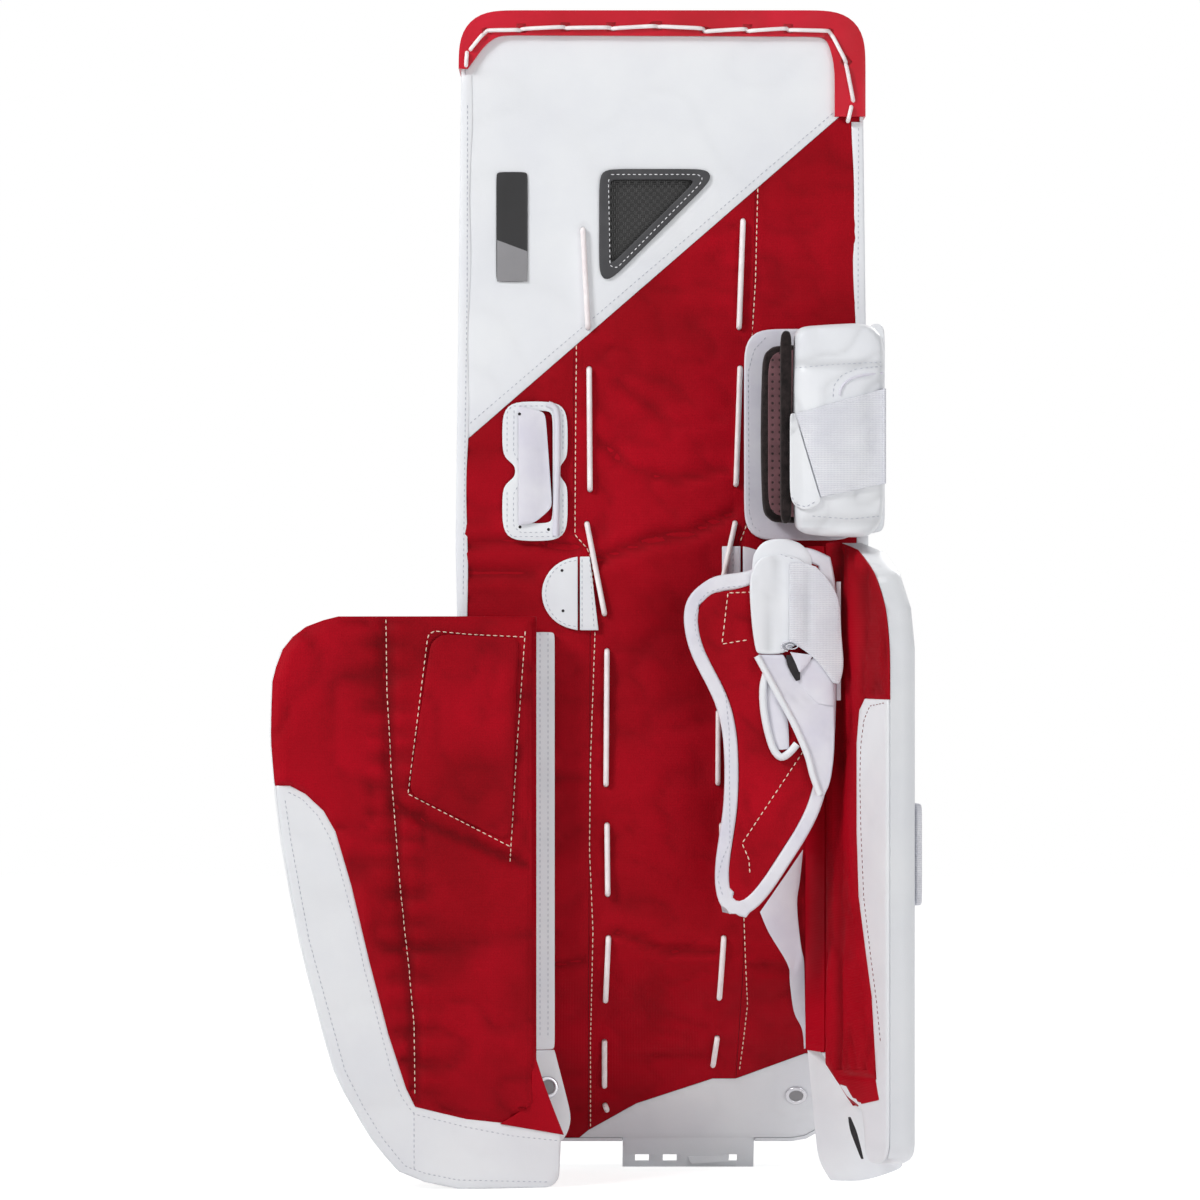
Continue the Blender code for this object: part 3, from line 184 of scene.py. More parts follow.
def finish(name, slot, light, dark, patch, rough, pattern, bump, sheen=0.0, coat=0.0,
           metal=0.0, turn=0.0, hollowShade=None, shine=0.5):
    # light and dark are the two ends of a soft mottle, patch its size in metres;
    # pattern is a list of (kind, size in metres, share) that make the relief,
    # and bump is that relief's depth in metres
    paint = bpy.data.materials.new(name)
    paint.use_nodes = True
    tree = paint.node_tree
    shader = tree.nodes["Principled BSDF"]
    coords = node(tree, "ShaderNodeTexCoord")

    def turned(vector, *angles):
        rotation = [math.radians(angle) for angle in angles]
        return node(tree, "ShaderNodeMapping", {"Rotation": rotation},
                    {"Vector": vector}).outputs[0]

    def spread(value, **limits):
        limits = {key.replace("_", " "): limit for key, limit in limits.items()}
        return node(tree, "ShaderNodeMapRange", limits, {"Value": value}).outputs[0]

    where = turned(coords.outputs["Object"], 0, 0, -turn)

    def waves(axis, size, vector=where):
        return node(tree, "ShaderNodeTexWave", {"Scale": waveScale / size}, {"Vector": vector},
                    wave_type="BANDS", bands_direction=axis).outputs["Fac"]

    def clouds(size, detail):
        return node(tree, "ShaderNodeTexNoise", {"Scale": 1 / size, "Detail": detail},
                    {"Vector": where}).outputs["Fac"]

    def mixed(factor, one, two):
        # two colours, each a shader's output or an RGBA value
        made = node(tree, "ShaderNodeMix", feeds={"Factor": factor}, data_type="RGBA")
        feed(tree, made.inputs[6], one)
        feed(tree, made.inputs[7], two)
        return made.outputs[2]

    cloud = clouds(patch, 4.0)
    tint = mixed(spread(cloud, From_Min=0.35, From_Max=0.65), colour(light), colour(dark))
    height = None
    for kind, size, part in pattern:
        if kind == "thread":                # two sets of crossing threads
            made = math2(tree, "MULTIPLY", waves("X", size), waves("Z", size))
        elif kind in ("ribX", "ribZ"):
            made = waves(kind[-1], size)
        elif kind == "braid":               # strands that run round the cord both ways
            made = math2(tree, "MAXIMUM", waves("Z", size, turned(where, 0, -45, 0)),
                         waves("Z", size, turned(where, 0, 45, 0)))
        elif kind == "grain":               # the small pebbles of a pressed leather
            made = node(tree, "ShaderNodeTexVoronoi", {"Scale": 1 / size}, {"Vector": where},
                        feature="SMOOTH_F1").outputs["Distance"]
        elif kind == "twill":               # tows that pass over and under in squares
            check = node(tree, "ShaderNodeTexChecker", {"Scale": 1 / size}, {"Vector": where})
            made = node(tree, "ShaderNodeMix", feeds={0: check.outputs["Fac"],
                                                      2: waves("X", size / 2),
                                                      3: waves("Z", size / 2)},
                        data_type="FLOAT").outputs[0]
        elif kind == "dots":                # punched holes in a square grid
            small = node(tree, "ShaderNodeTexVoronoi", {"Scale": 1 / size, "Randomness": 0.0},
                         {"Vector": turned(where, 90, 0, 0)}, feature="F1",
                         voronoi_dimensions="2D")
            made = spread(small.outputs["Distance"], From_Min=0.16, From_Max=0.26)
        else:
            made = clouds(size, 3.0)
        made = math2(tree, "MULTIPLY", made, part)
        height = made if height is None else math2(tree, "ADD", height, made)
    if hollowShade:                                # painted shade: the low places of the relief take a darker colour
        tint = mixed(spread(height, From_Min=hollowShade[1], From_Max=hollowShade[2]), colour(hollowShade[0]), tint)
    # painted shade: where the surface was pushed in, at creases, quilted seams and rims, the colour
    # darkens
    dips = node(tree, "ShaderNodeAttribute", attribute_name="dip")
    creaseShade = [c * crease["dark"] for c in colour(dark)[:3]] + [1.0]
    shown = math2(tree, "MULTIPLY", dips.outputs["Fac"], crease["share"])
    tint = mixed(shown, tint, creaseShade)
    tree.links.new(tint, shader.inputs["Base Color"])
    gloss = spread(cloud, To_Min=rough - 0.05, To_Max=rough + 0.06)
    tree.links.new(gloss, shader.inputs["Roughness"])
    relief = node(tree, "ShaderNodeBump", {"Strength": 0.6, "Distance": bump}, {"Height": height})
    tree.links.new(relief.outputs[0], shader.inputs["Normal"])
    shader.inputs["Metallic"].default_value = metal
    shader.inputs["Specular IOR Level"].default_value = shine
    shader.inputs["Sheen Weight"].default_value = sheen
    shader.inputs["Coat Weight"].default_value = coat
    shader.inputs["Coat Roughness"].default_value = 0.25
    paints[name] = (paint, slot)


# woven nylon: threads 0.5 mm apart are drawn 1.1 mm apart so that they show
nylonWeave = [("thread", 0.0011, 0.8), ("cloud", 0.012, 0.5)]
for nylonName, nylonTurn in (("wovenNylon", 0), ("flapNylon", 8), ("wallNylon", -65)):
    finish(nylonName, "red_nylon", "#AC0019", "#960012", 0.07, 0.60, nylonWeave, 0.00030,
           turn=nylonTurn, shine=0.10)
# pressed synthetic leather: small pebbles under a satin skin
leatherGrain = [("grain", 0.0009, 0.6), ("cloud", 0.006, 0.5)]
finish("whiteSyntheticLeather", "white_leather", "#EAECEF", "#E3E5EA", 0.07, 0.42, leatherGrain,
       0.00012, coat=0.12)
# the same leather with painted shade and a painted lilac reflection, for faces turned away from the
# light
finish("shadedSyntheticLeather", "white_leather", "#E2E1E8", "#D6D4E0", 0.03, 0.46, leatherGrain,
       0.00012, coat=0.08)
finish("redSyntheticLeather", "red_leather", "#CC0E2C", "#B8081F", 0.05, 0.36,
       [("grain", 0.0010, 0.6), ("cloud", 0.008, 0.6)], 0.00018, coat=0.12, shine=0.30)
# elastic webbing: ribs of covered rubber threads, 0.8 mm drawn at 1.3 mm, with painted shade
# between the ribs
finish("elasticWebbing", "white_webbing", "#E6E7EC", "#DADBE3", 0.02, 0.72,
       [("ribZ", 0.0015, 0.9), ("ribX", 0.0022, 0.3)], 0.00035, hollowShade=("#D2D3DC", 0.0, 0.7))
# braided polyester lace
finish("braidedLace", "lace_cord", "#FFFAFA", "#F3E9EB", 0.01, 0.66, [("braid", 0.0012, 1.0)],
       0.00022, sheen=0.2)
# polyester sewing thread
finish("creamThread", "lace_cord", "#F8E0CC", "#EACBB4", 0.004, 0.6, [("braid", 0.0006, 1.0)],
       0.00006)
finish("greyThread", "white_leather", "#BFC1CB", "#AEB1BE", 0.004, 0.6, [("braid", 0.0006, 1.0)],
       0.00006)
finish("whiteThread", "white_leather", "#F4F4F6", "#E2E2E8", 0.004, 0.6, [("braid", 0.0006, 1.0)],
       0.00006)
finish("darkRedThread", "red_nylon", "#7A000C", "#6A0009", 0.004, 0.6, [("braid", 0.0006, 1.0)],
       0.00006)
# moulded rubber frame round the window
finish("mouldedRubber", "dark_trim", "#38383B", "#2E2E31", 0.02, 0.55, [("cloud", 0.0012, 1.0)],
       0.00006)
finish("printedLabel", "dark_trim", "#1C1B1D", "#151416", 0.03, 0.40, [("cloud", 0.001, 1.0)],
       0.00003)
finish("greyLabel", "dark_trim", "#8E8D90", "#858487", 0.03, 0.45, [("cloud", 0.001, 1.0)],
       0.00003)
# woven carbon-look sheet, 2.6 mm tows, with painted shade in the low places between them
finish("wovenComposite", "composite", "#242323", "#181717", 0.02, 0.34, [("twill", 0.0026, 1.0)],
       0.00040, coat=0.2, hollowShade=("#060606", 0.0, 0.75), shine=0.4)
# perforated suede, holes 5 mm apart, with painted shade darkening the holes
finish("perforatedSuede", "perforated_lining", "#7A5258", "#664449", 0.012, 0.85,
       [("dots", 0.0050, 1.0), ("cloud", 0.0008, 0.25)], 0.0005, sheen=0.15,
       hollowShade=("#1C0F11", 0.05, 0.5))
# napped foam; on the knee pad its black also stands for painted shade between the base's border and
# the lining
finish("blackNap", "black_pile", "#2A2222", "#181313", 0.004, 0.95,
       [("cloud", 0.0009, 1.0)], 0.0007, sheen=0.10, shine=0.2)
finish("eyeletNickel", "eyelet_metal", "#C9C8CC", "#BDBCC2", 0.01, 0.28, [("cloud", 0.002, 1.0)],
       0.00002, metal=1.0)
finish("closedFoam", "foam", "#5A5A5D", "#4E4E52", 0.02, 0.9, [("cloud", 0.0015, 1.0)], 0.0003)
# painted shade: the dark inside punched holes, slits and gaps
finish("holeAndGapShade", "dark_trim", "#2A2629", "#1E1B1E", 0.004, 0.9, [("cloud", 0.001, 1.0)],
       0.00003)
whiteLeather, shadedLeather = "whiteSyntheticLeather", "shadedSyntheticLeather"
webbing = "elasticWebbing"
print("materials:", len(paints))

# --- making pieces ---
trees = {}                                  # the surface of each finished piece


def sight(px, py):
    return Vector(((px - 600) * pixel / view["distance"], 1.0,
                   (600 - py) * pixel / view["distance"]))


def onPlane(px, py, base, depth):
    # the point seen at a pixel, on the plane at this depth in a board's own frame
    turned = base.inverted()
    start = turned @ eye
    way = turned.to_3x3() @ sight(px, py)
    return base @ (start + way * ((depth - start.y) / way.y))


def drawn(pixels, base, depth):
    return [onPlane(px, py, base, depth) for px, py in pixels]


def hit(px, py, owners):
    # where the sight line through a pixel meets the nearest of these pieces
    best = None
    for owner in owners:
        found = trees[owner].ray_cast(eye, sight(px, py).normalized())
        if found[0] is not None and (best is None or found[3] < best[3]):
            best = found
    return best


def keep(name, bm, body, paint, replaces=(), sharp=38.0, levels=0):
    # turn a finished bmesh into a piece that rides on its body; a piece given two bodies is not
    # attached, and its transform is baked into the mesh
    bmesh.ops.triangulate(bm, faces=[f for f in bm.faces if len(f.verts) > 4])
    trees[name] = BVHTree.FromBMesh(bm)
    mesh = bpy.data.meshes.new(name)
    bm.to_mesh(mesh)
    bm.free()
    mesh.materials.append(paints[paint][0])
    mesh.shade_smooth()
    if sharp:
        mesh.set_sharp_from_angle(angle=math.radians(sharp))
    piece = bpy.data.objects.new(name, mesh)
    bpy.context.scene.collection.objects.link(piece)
    if levels:
        round_ = piece.modifiers.new("rounder", "SUBSURF")
        round_.levels = round_.render_levels = levels
    if isinstance(body, str):
        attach(piece, body)
    if replaces:
        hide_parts(*replaces)
    if not isinstance(body, str):
        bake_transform(piece)
    return piece


def copyOf(nodeName, base, weld=0.00002):
    bm = bmesh.new()
    bm.from_mesh(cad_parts[nodeName].data)
    bmesh.ops.remove_doubles(bm, verts=bm.verts, dist=weld)
    bmesh.ops.transform(bm, matrix=base.inverted(), verts=bm.verts)
    bmesh.ops.dissolve_limit(bm, angle_limit=math.radians(0.5), verts=bm.verts, edges=bm.edges)
    return bm


def cutGrid(bm, cell, axes=(0, 2)):
    for axis in axes:
        values = [v.co[axis] for v in bm.verts]
        normal = Vector([1.0 if k == axis else 0.0 for k in range(3)])
        step = math.ceil(min(values) / cell) * cell
        while step < max(values):
            bmesh.ops.bisect_plane(bm, geom=bm.verts[:] + bm.edges[:] + bm.faces[:],
                                   dist=cell * 0.04, plane_co=normal * step, plane_no=normal)
            step += cell


def rimOf(bm, angle=50):
    return [e for e in bm.edges if len(e.link_faces) == 2
            and e.calc_face_angle(0.0) > math.radians(angle)]


def roundRim(bm, angle, offset, steps=2):
    bmesh.ops.bevel(bm, geom=rimOf(bm, angle), offset=offset, offset_type="OFFSET",
                    affect="EDGES", segments=steps, profile=0.5, material=-1,
                    clamp_overlap=True)


def easeRim(bm, step=0.005, rounds=6):
    # the outlines are cut in short straight runs, and cloth turns in one soft curve
    bm.normal_update()
    for edge in rimOf(bm):
        cuts = int(edge.calc_length() / step)
        if cuts > 0:
            bmesh.ops.subdivide_edges(bm, edges=[edge], cuts=cuts)
    beside = {}
    for edge in rimOf(bm):
        for v in edge.verts:
            beside.setdefault(v, []).append(edge.other_vert(v))
    free = [v for v, pair in beside.items() if len(pair) == 2
            and (v.co - pair[0].co).angle(pair[1].co - v.co, 0.0) < math.radians(45)]
    for _ in range(rounds):
        moved = [(v, v.co * 0.5 + (beside[v][0].co + beside[v][1].co) * 0.25) for v in free]
        for v, spot in moved:
            v.co = spot


def tuckHoles(bm, centres, reach=0.0036, share=0.55):
    # cloth closes round a lace
    for v in bm.verts:
        for x, z in centres:
            if math.hypot(v.co.x - x, v.co.z - z) < reach:
                v.co.x = x + (v.co.x - x) * share
                v.co.z = z + (v.co.z - z) * share


def folds(x, z, wide, tall, depth, seed):
    # soft hills with a few sharper creases between them
    hill = noise.noise(Vector((x / wide, seed, z / tall)))
    crease = 1 - abs(noise.noise(Vector((x / wide * 1.4 + 7, seed + 3, z / tall * 1.2))))
    return depth * (0.7 * hill - 0.9 * crease ** 9)


def toLine(x, z, line):
    # the distance from a point to a drawn line
    best = 1.0
    for (ax, az), (bx, bz) in zip(line, line[1:]):
        run = (bx - ax) ** 2 + (bz - az) ** 2
        t = max(0.0, min(1.0, ((x - ax) * (bx - ax) + (z - az) * (bz - az)) / run))
        best = min(best, math.hypot(x - ax - t * (bx - ax), z - az - t * (bz - az)))
    return best


def valley(distance, width):
    return math.exp(-(distance / width) ** 2)


def shapeFront(bm, relief, drop, side=-1):
    # move the face that looks along -Y: the relief lifts it, and it drops towards its rim
    dip = bm.verts.layers.float.new("dip")
    front = [v for v in bm.verts if any(f.normal.y * side > 0.5 for f in v.link_faces)]
    rim = [v for v in front if any(f.normal.y * side < 0.5 for f in v.link_faces)]
    near = kdtree.KDTree(len(rim))
    for index, v in enumerate(rim):
        near.insert(v.co, index)
    near.balance()
    for v in front:
        distance = near.find(v.co)[2]
        move = relief(v.co.x, v.co.z) * min(1.0, distance / 0.004) if relief else 0.0
        if drop:
            move -= drop[1] * valley(distance, drop[0])
        v.co.y += side * move
        # the dip darkens the colour here: painted shade in creases and towards the rim
        v[dip] = max(0.0, min(1.0, -move / crease["deep"]))


def dress(name, nodeName, base, body, paint, spec, padded=None):
    # a softened copy of a CAD solid: edges rounded, faces divided, then given its relief
    bm = copyOf(nodeName, base)
    if spec.get("ease", True):
        easeRim(bm)
    if spec.get("holes"):
        tuckHoles(bm, spec["holes"])
    if spec.get("round"):
        roundRim(bm, 50, spec["round"], spec.get("steps", 2))
    cutGrid(bm, spec.get("cell", 0.007), spec.get("axes", (0, 2)))
    bm.normal_update()
    shapeFront(bm, spec.get("relief"), spec.get("drop"), spec.get("side", -1))
    if spec.get("grow"):
        for v in bm.verts:
            outward = Vector((v.normal.x, 0.0, v.normal.z))
            if outward.length > 0.3:
                v.co += outward.normalized() * spec["grow"]
    if spec.get("warp"):
        for v in bm.verts:
            v.co.y += spec["warp"](v.co.x, v.co.z)
    if spec.get("lower"):
        for v in bm.verts:
            v.co.z -= spec["lower"](v.co.x, v.co.z)
    bmesh.ops.transform(bm, matrix=base, verts=bm.verts)
    bm.normal_update()
    return keep(name, bm, body, paint, (nodeName,), spec.get("sharp", 38.0))


def dressAll(base, body, rows):
    # each row: the CAD solid, the paint, the spec and, for a cushion, its fill; the fill is not
    # used
    for name, (nodeName, paint, spec, *padded) in rows.items():
        dress(name, nodeName, base, body, paint, spec, *padded)


# a cushion starts this much smaller than its solid and may swell by cap
cushion = {"start": 0.0015, "cap": 0.003, "voxel": 0.0045, "pressure": 4.0, "frames": 20}


def stuff(name, nodeName, base, body, paint, spec):
    # a cushion: a slightly smaller copy is blown up as cloth, and its seams come after that
    bm = copyOf(nodeName, base)
    bm.normal_update()
    for v in bm.verts:
        v.co -= v.normal * cushion["start"]
    mesh = bpy.data.meshes.new(name + "Cloth")
    bm.to_mesh(mesh)
    bm.free()
    blown = bpy.data.objects.new(name + "Cloth", mesh)
    scene = bpy.context.scene
    scene.collection.objects.link(blown)
    voxels = blown.modifiers.new("voxels", "REMESH")
    voxels.mode = "VOXEL"
    voxels.voxel_size = cushion["voxel"]
    bpy.context.view_layer.update()
    even = bpy.data.meshes.new_from_object(
        blown.evaluated_get(bpy.context.evaluated_depsgraph_get()))
    blown.modifiers.clear()
    blown.data = even
    before = [v.co.copy() for v in even.vertices]
    cloth = blown.modifiers.new("cloth", "CLOTH")
    cloth.settings.quality = 6
    cloth.settings.use_pressure = True
    cloth.settings.uniform_pressure_force = cushion["pressure"]
    cloth.settings.effector_weights.gravity = 0.0
    cloth.point_cache.frame_start = 1
    cloth.point_cache.frame_end = cushion["frames"]
    for step in range(1, cushion["frames"] + 1):
        scene.frame_set(step)
    after = bpy.data.meshes.new_from_object(
        blown.evaluated_get(bpy.context.evaluated_depsgraph_get()))
    bm = bmesh.new()
    bm.from_mesh(after)
    bm.verts.ensure_lookup_table()
    for v, first in zip(bm.verts, before):
        way = v.co - first
        if way.length > cushion["cap"]:
            v.co = first + way * (cushion["cap"] / way.length)
    bpy.data.objects.remove(blown)
    scene.frame_set(1)
    bmesh.ops.smooth_vert(bm, verts=bm.verts, factor=0.5, use_axis_x=True, use_axis_y=True,
                          use_axis_z=True)
    bmesh.ops.subdivide_edges(bm, edges=bm.edges[:], cuts=1, use_grid_fill=True)
    bm.normal_update()
    dip = bm.verts.layers.float.new("dip")
    for v in bm.verts:
        facing = max(0.0, -v.normal.y)
        if spec.get("relief"):
            move = facing * spec["relief"](v.co.x, v.co.z)
            v.co.y -= move
            # the dip darkens the colour here: painted shade in the creases
            v[dip] = max(0.0, min(1.0, -move / crease["deep"]))
        if spec.get("lower"):
            v.co.z -= spec["lower"](v.co.x, v.co.z)
    bmesh.ops.transform(bm, matrix=base, verts=bm.verts)
    bm.normal_update()
    return keep(name, bm, body, paint, (nodeName,), 0, 1)


def evenly(points, count):
    # points spaced evenly along a line
    lengths = [0.0]
    for a, b in zip(points, points[1:]):
        lengths.append(lengths[-1] + (Vector(b) - Vector(a)).length)
    spread = []
    index = 0
    for k in range(count):
        target = lengths[-1] * k / (count - 1)
        while index < len(points) - 2 and lengths[index + 1] < target:
            index += 1
        run = lengths[index + 1] - lengths[index]
        t = (target - lengths[index]) / run if run else 0.0
        spread.append(Vector(points[index]).lerp(Vector(points[index + 1]), t))
    return spread


def rounder(points, steps=4):
    # a smooth line through the points
    line = []
    last = len(points) - 1
    for index in range(last):
        a, b, c, d = (Vector(points[min(max(index + k, 0), last)]) for k in (-1, 0, 1, 2))
        for step in range(steps):
            t = step / steps
            line.append(0.5 * (2 * b + (c - a) * t + (2 * a - 5 * b + 4 * c - d) * t * t
                               + (3 * b - a - 3 * c + d) * t ** 3))
    line.append(Vector(points[last]))
    return line


def ribbon(name, left, right, body, paint, spec, replaces=(), sharp=50.0):
    # a strip of cloth or leather between two lines, with a crown across and a thickness
    along, across = spec.get("along", 40), spec.get("across", 5)
    left, right = evenly(rounder(left), along + 1), evenly(rounder(right), along + 1)
    bm = bmesh.new()
    bmesh.ops.create_grid(bm, x_segments=across, y_segments=along, size=0.5)
    up = Vector(spec.get("up", (0.0, -1.0, 0.0))).normalized()
    for v in bm.verts:
        u, t = v.co.x + 0.5, v.co.y + 0.5
        row = min(along, max(0, round(t * along)))
        spot = left[row].lerp(right[row], u)
        spot += up * spec.get("crown", 0.0) * (1 - (2 * u - 1) ** 2)
        v.co = spot
    bmesh.ops.recalc_face_normals(bm, faces=bm.faces)
    bm.normal_update()
    if sum(f.normal.dot(up) for f in bm.faces) < 0:
        bmesh.ops.reverse_faces(bm, faces=bm.faces)
    bmesh.ops.solidify(bm, geom=bm.faces[:], thickness=spec.get("thick", 0.001))
    bmesh.ops.recalc_face_normals(bm, faces=bm.faces)
    roundRim(bm, 60, spec.get("thick", 0.001) * 0.3)
    bm.normal_update()
    return keep(name, bm, body, paint, replaces, sharp=sharp)


def strip(name, left, right, base, depth, body, paint, spec):
    # a ribbon between two lines that are drawn in the frame's pixels
    ribbon(name, drawn(left, base, depth), drawn(right, base, depth), body, paint, spec)


def tubeAlong(name, points, radius, body, paint, replaces=()):
    # a round cord or piping on a smooth line
    curve = bpy.data.curves.new(name, "CURVE")
    curve.dimensions = "3D"
    curve.bevel_depth = radius
    curve.bevel_resolution = 3
    curve.use_fill_caps = True
    spline = curve.splines.new("POLY")
    spline.points.add(len(points) - 1)
    for point, spot in zip(spline.points, points):
        point.co = (*spot, 1.0)
    carrier = bpy.data.objects.new(name, curve)
    bpy.context.scene.collection.objects.link(carrier)
    bpy.context.view_layer.update()
    mesh = bpy.data.meshes.new_from_object(
        carrier.evaluated_get(bpy.context.evaluated_depsgraph_get()))
    bpy.data.objects.remove(carrier)
    bm = bmesh.new()
    bm.from_mesh(mesh)
    bmesh.ops.remove_doubles(bm, verts=bm.verts, dist=0.00001)
    bmesh.ops.recalc_face_normals(bm, faces=bm.faces)
    return keep(name, bm, body, paint, replaces, sharp=60.0)


threadKinds = {"cream": ("creamThread", 0.0042, 0.0031, 0.00045),
               "grey": ("greyThread", 0.0034, 0.0021, 0.00030),
               "white": ("whiteThread", 0.0036, 0.0025, 0.00038),
               "darkRed": ("darkRedThread", 0.0036, 0.0024, 0.00035)}
threads = {}


def sew(owners, pixels, body, kind="grey"):
    # stitches on the surface of a piece, along a line that is drawn in the frame's pixels
    pitch, length, radius = threadKinds[kind][1:]
    if isinstance(owners, str):
        owners = [owners]
    spots = []
    for (ax, ay), (bx, by) in zip(pixels, pixels[1:]):
        count = max(2, int(math.hypot(bx - ax, by - ay) / 0.6))
        for k in range(count):
            found = hit(ax + (bx - ax) * k / count, ay + (by - ay) * k / count, owners)
            if found:
                spots.append((found[0], found[1]))
    stitchAlong(spots, pitch, length, radius, body, kind)


def stitchAlong(spots, pitch, length, radius, body, kind):
    target = threads.setdefault((body, kind), bmesh.new())
    walked, start = 0.0, None
    for (a, normalA), (b, _) in zip(spots, spots[1:]):
        gap = (b - a).length
        if gap > 0.012:                     # the line left the piece and came back
            walked, start = 0.0, None
            continue
        if start is None:
            start = (a, normalA)
        walked += gap
        if walked >= length and start != "wait":
            first, normal = start
            along = (b - first).normalized()
            across = normal.cross(along).normalized()
            turned = Matrix((along, across, along.cross(across))).transposed().to_4x4()
            middle = (first + b) / 2 + normal * radius * 0.35
            bmesh.ops.create_uvsphere(
                target, u_segments=6, v_segments=4, radius=1.0,
                matrix=Matrix.Translation(middle) @ turned @ Matrix.Diagonal(
                    ((b - first).length / 2, radius, radius * 0.8, 1.0)))
            start = "wait"
        if walked >= pitch:
            walked, start = 0.0, None


def patch(name, left, right, owners, body, paint, lift=0.0009, along=24, across=12):
    # a thin lap of cloth that lies on the pieces seen between two lines in the frame
    left = evenly([Vector((x, y, 0.0)) for x, y in left], along + 1)
    right = evenly([Vector((x, y, 0.0)) for x, y in right], along + 1)
    bm = bmesh.new()
    bmesh.ops.create_grid(bm, x_segments=across, y_segments=along, size=0.5)
    reach = view["distance"]
    for v in bm.verts:
        row = min(along, max(0, round((v.co.y + 0.5) * along)))
        spot = left[row].lerp(right[row], v.co.x + 0.5)
        found = hit(spot.x, spot.y, owners)
        if found:
            reach = found[3] - lift
        v.co = eye + sight(spot.x, spot.y).normalized() * reach
    bmesh.ops.smooth_vert(bm, verts=bm.verts, factor=0.5, use_axis_y=True)
    bm.normal_update()
    if sum(f.normal.dot(eye - f.calc_center_median()) for f in bm.faces) < 0:
        bmesh.ops.reverse_faces(bm, faces=bm.faces)
    bmesh.ops.solidify(bm, geom=bm.faces[:], thickness=0.0004)
    bmesh.ops.recalc_face_normals(bm, faces=bm.faces)
    return keep(name, bm, body, paint, sharp=50.0)


def hole(name, px, py, owners, body, radius=0.0011):
    # a small punched hole, drawn as a thin dark disc of painted shade, with a slightly raised rim
    found = hit(px, py, owners)
    if not found:
        return
    bm = bmesh.new()
    facing = found[1].to_track_quat("Z", "Y").to_matrix().to_4x4()
    bmesh.ops.create_cone(bm, cap_ends=True, segments=14, radius1=radius, radius2=radius * 0.85,
                          depth=0.0004,
                          matrix=Matrix.Translation(found[0] + found[1] * 0.0001) @ facing)
    keep(name, bm, body, "holeAndGapShade", sharp=30.0)


def leanAt(z):
    # how far forward the boot has leaned at a height
    return sum(max(0.0, start - z) for start in (0.168, 0.155, 0.142)) * 0.67 / 3


def halfWidth(z):
    stops = [(0.0, 0.117), (0.020, 0.120), (0.155, 0.138), (0.446, 0.1445), (0.8185, 0.140)]
    for (z0, w0), (z1, w1) in zip(stops, stops[1:]):
        if z <= z1:
            return w0 + (w1 - w0) * (z - z0) / (z1 - z0)
    return stops[-1][1]


# --- the padded cover ---
cover = {"cell": 0.008, "breaks": (0.446, 0.155), "seamDepth": 0.0030, "seamWidth": 0.0040,
         "sideSeams": (-0.108, 0.108), "crossSeams": (0.640, 0.446, 0.300, 0.155),
         "kneeCrease": 0.0015, "kneeWidth": 0.006}


def makeCover():
    nodes = ("front_cover_thigh", "front_cover_shin", "front_cover_boot")
    bm = bmesh.new()
    for name in nodes:
        bm.from_mesh(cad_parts[name].data)
    bmesh.ops.remove_doubles(bm, verts=bm.verts, dist=0.00002)
    bmesh.ops.transform(bm, matrix=padBase.inverted(), verts=bm.verts)
    bm.normal_update()
    ends = [f for f in bm.faces if abs(f.normal.z) > 0.9
            and any(abs(f.calc_center_median().z - level) < 0.002 for level in cover["breaks"])]
    bmesh.ops.delete(bm, geom=ends, context="FACES")
    bmesh.ops.remove_doubles(bm, verts=bm.verts, dist=0.0006)
    bmesh.ops.dissolve_limit(bm, angle_limit=math.radians(0.5), verts=bm.verts, edges=bm.edges)
    cutGrid(bm, cover["cell"], (0, 1, 2))
    bm.normal_update()
    dip = bm.verts.layers.float.new("dip")
    for v in bm.verts:
        middle = Vector((0.0, 0.030 + leanAt(v.co.z), min(0.78, max(0.06, v.co.z))))
        if (v.co - middle).dot(v.normal) < 0 or v.normal.y < -0.3:
            continue
        x, z = v.co.x, v.co.z
        move = folds(x + v.co.y, z, 0.09, 0.07, 0.0007, 2.2)
        if v.normal.y > 0.5:
            near = min([abs(x - s) for s in cover["sideSeams"]]
                       + [abs(z - s) for s in cover["crossSeams"]])
            move -= cover["seamDepth"] * valley(near, cover["seamWidth"])
        move -= cover["kneeCrease"] * valley(z - cover["breaks"][0], cover["kneeWidth"])
        v.co += v.normal * move
        # the dip darkens the colour here: painted shade in the seams and the knee crease
        v[dip] = max(0.0, min(1.0, -move / crease["deep"]))
    bmesh.ops.transform(bm, matrix=padBase, verts=bm.verts)
    bm.normal_update()
    keep("padCover", bm, "pad", whiteLeather, nodes, sharp=45.0)


makeCover()
for coreNode in ("foam_core_thigh", "foam_core_shin", "foam_core_boot", "outer_flap_foam",
                 "inner_wall_foam"):
    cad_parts[coreNode].data.materials.clear()
    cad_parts[coreNode].data.materials.append(paints["closedFoam"][0])
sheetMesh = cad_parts["stiffener_sheet"].data
sheetMesh.materials.clear()
sheetMesh.materials.append(paints["wovenComposite"][0])
print("cover and core are dressed")

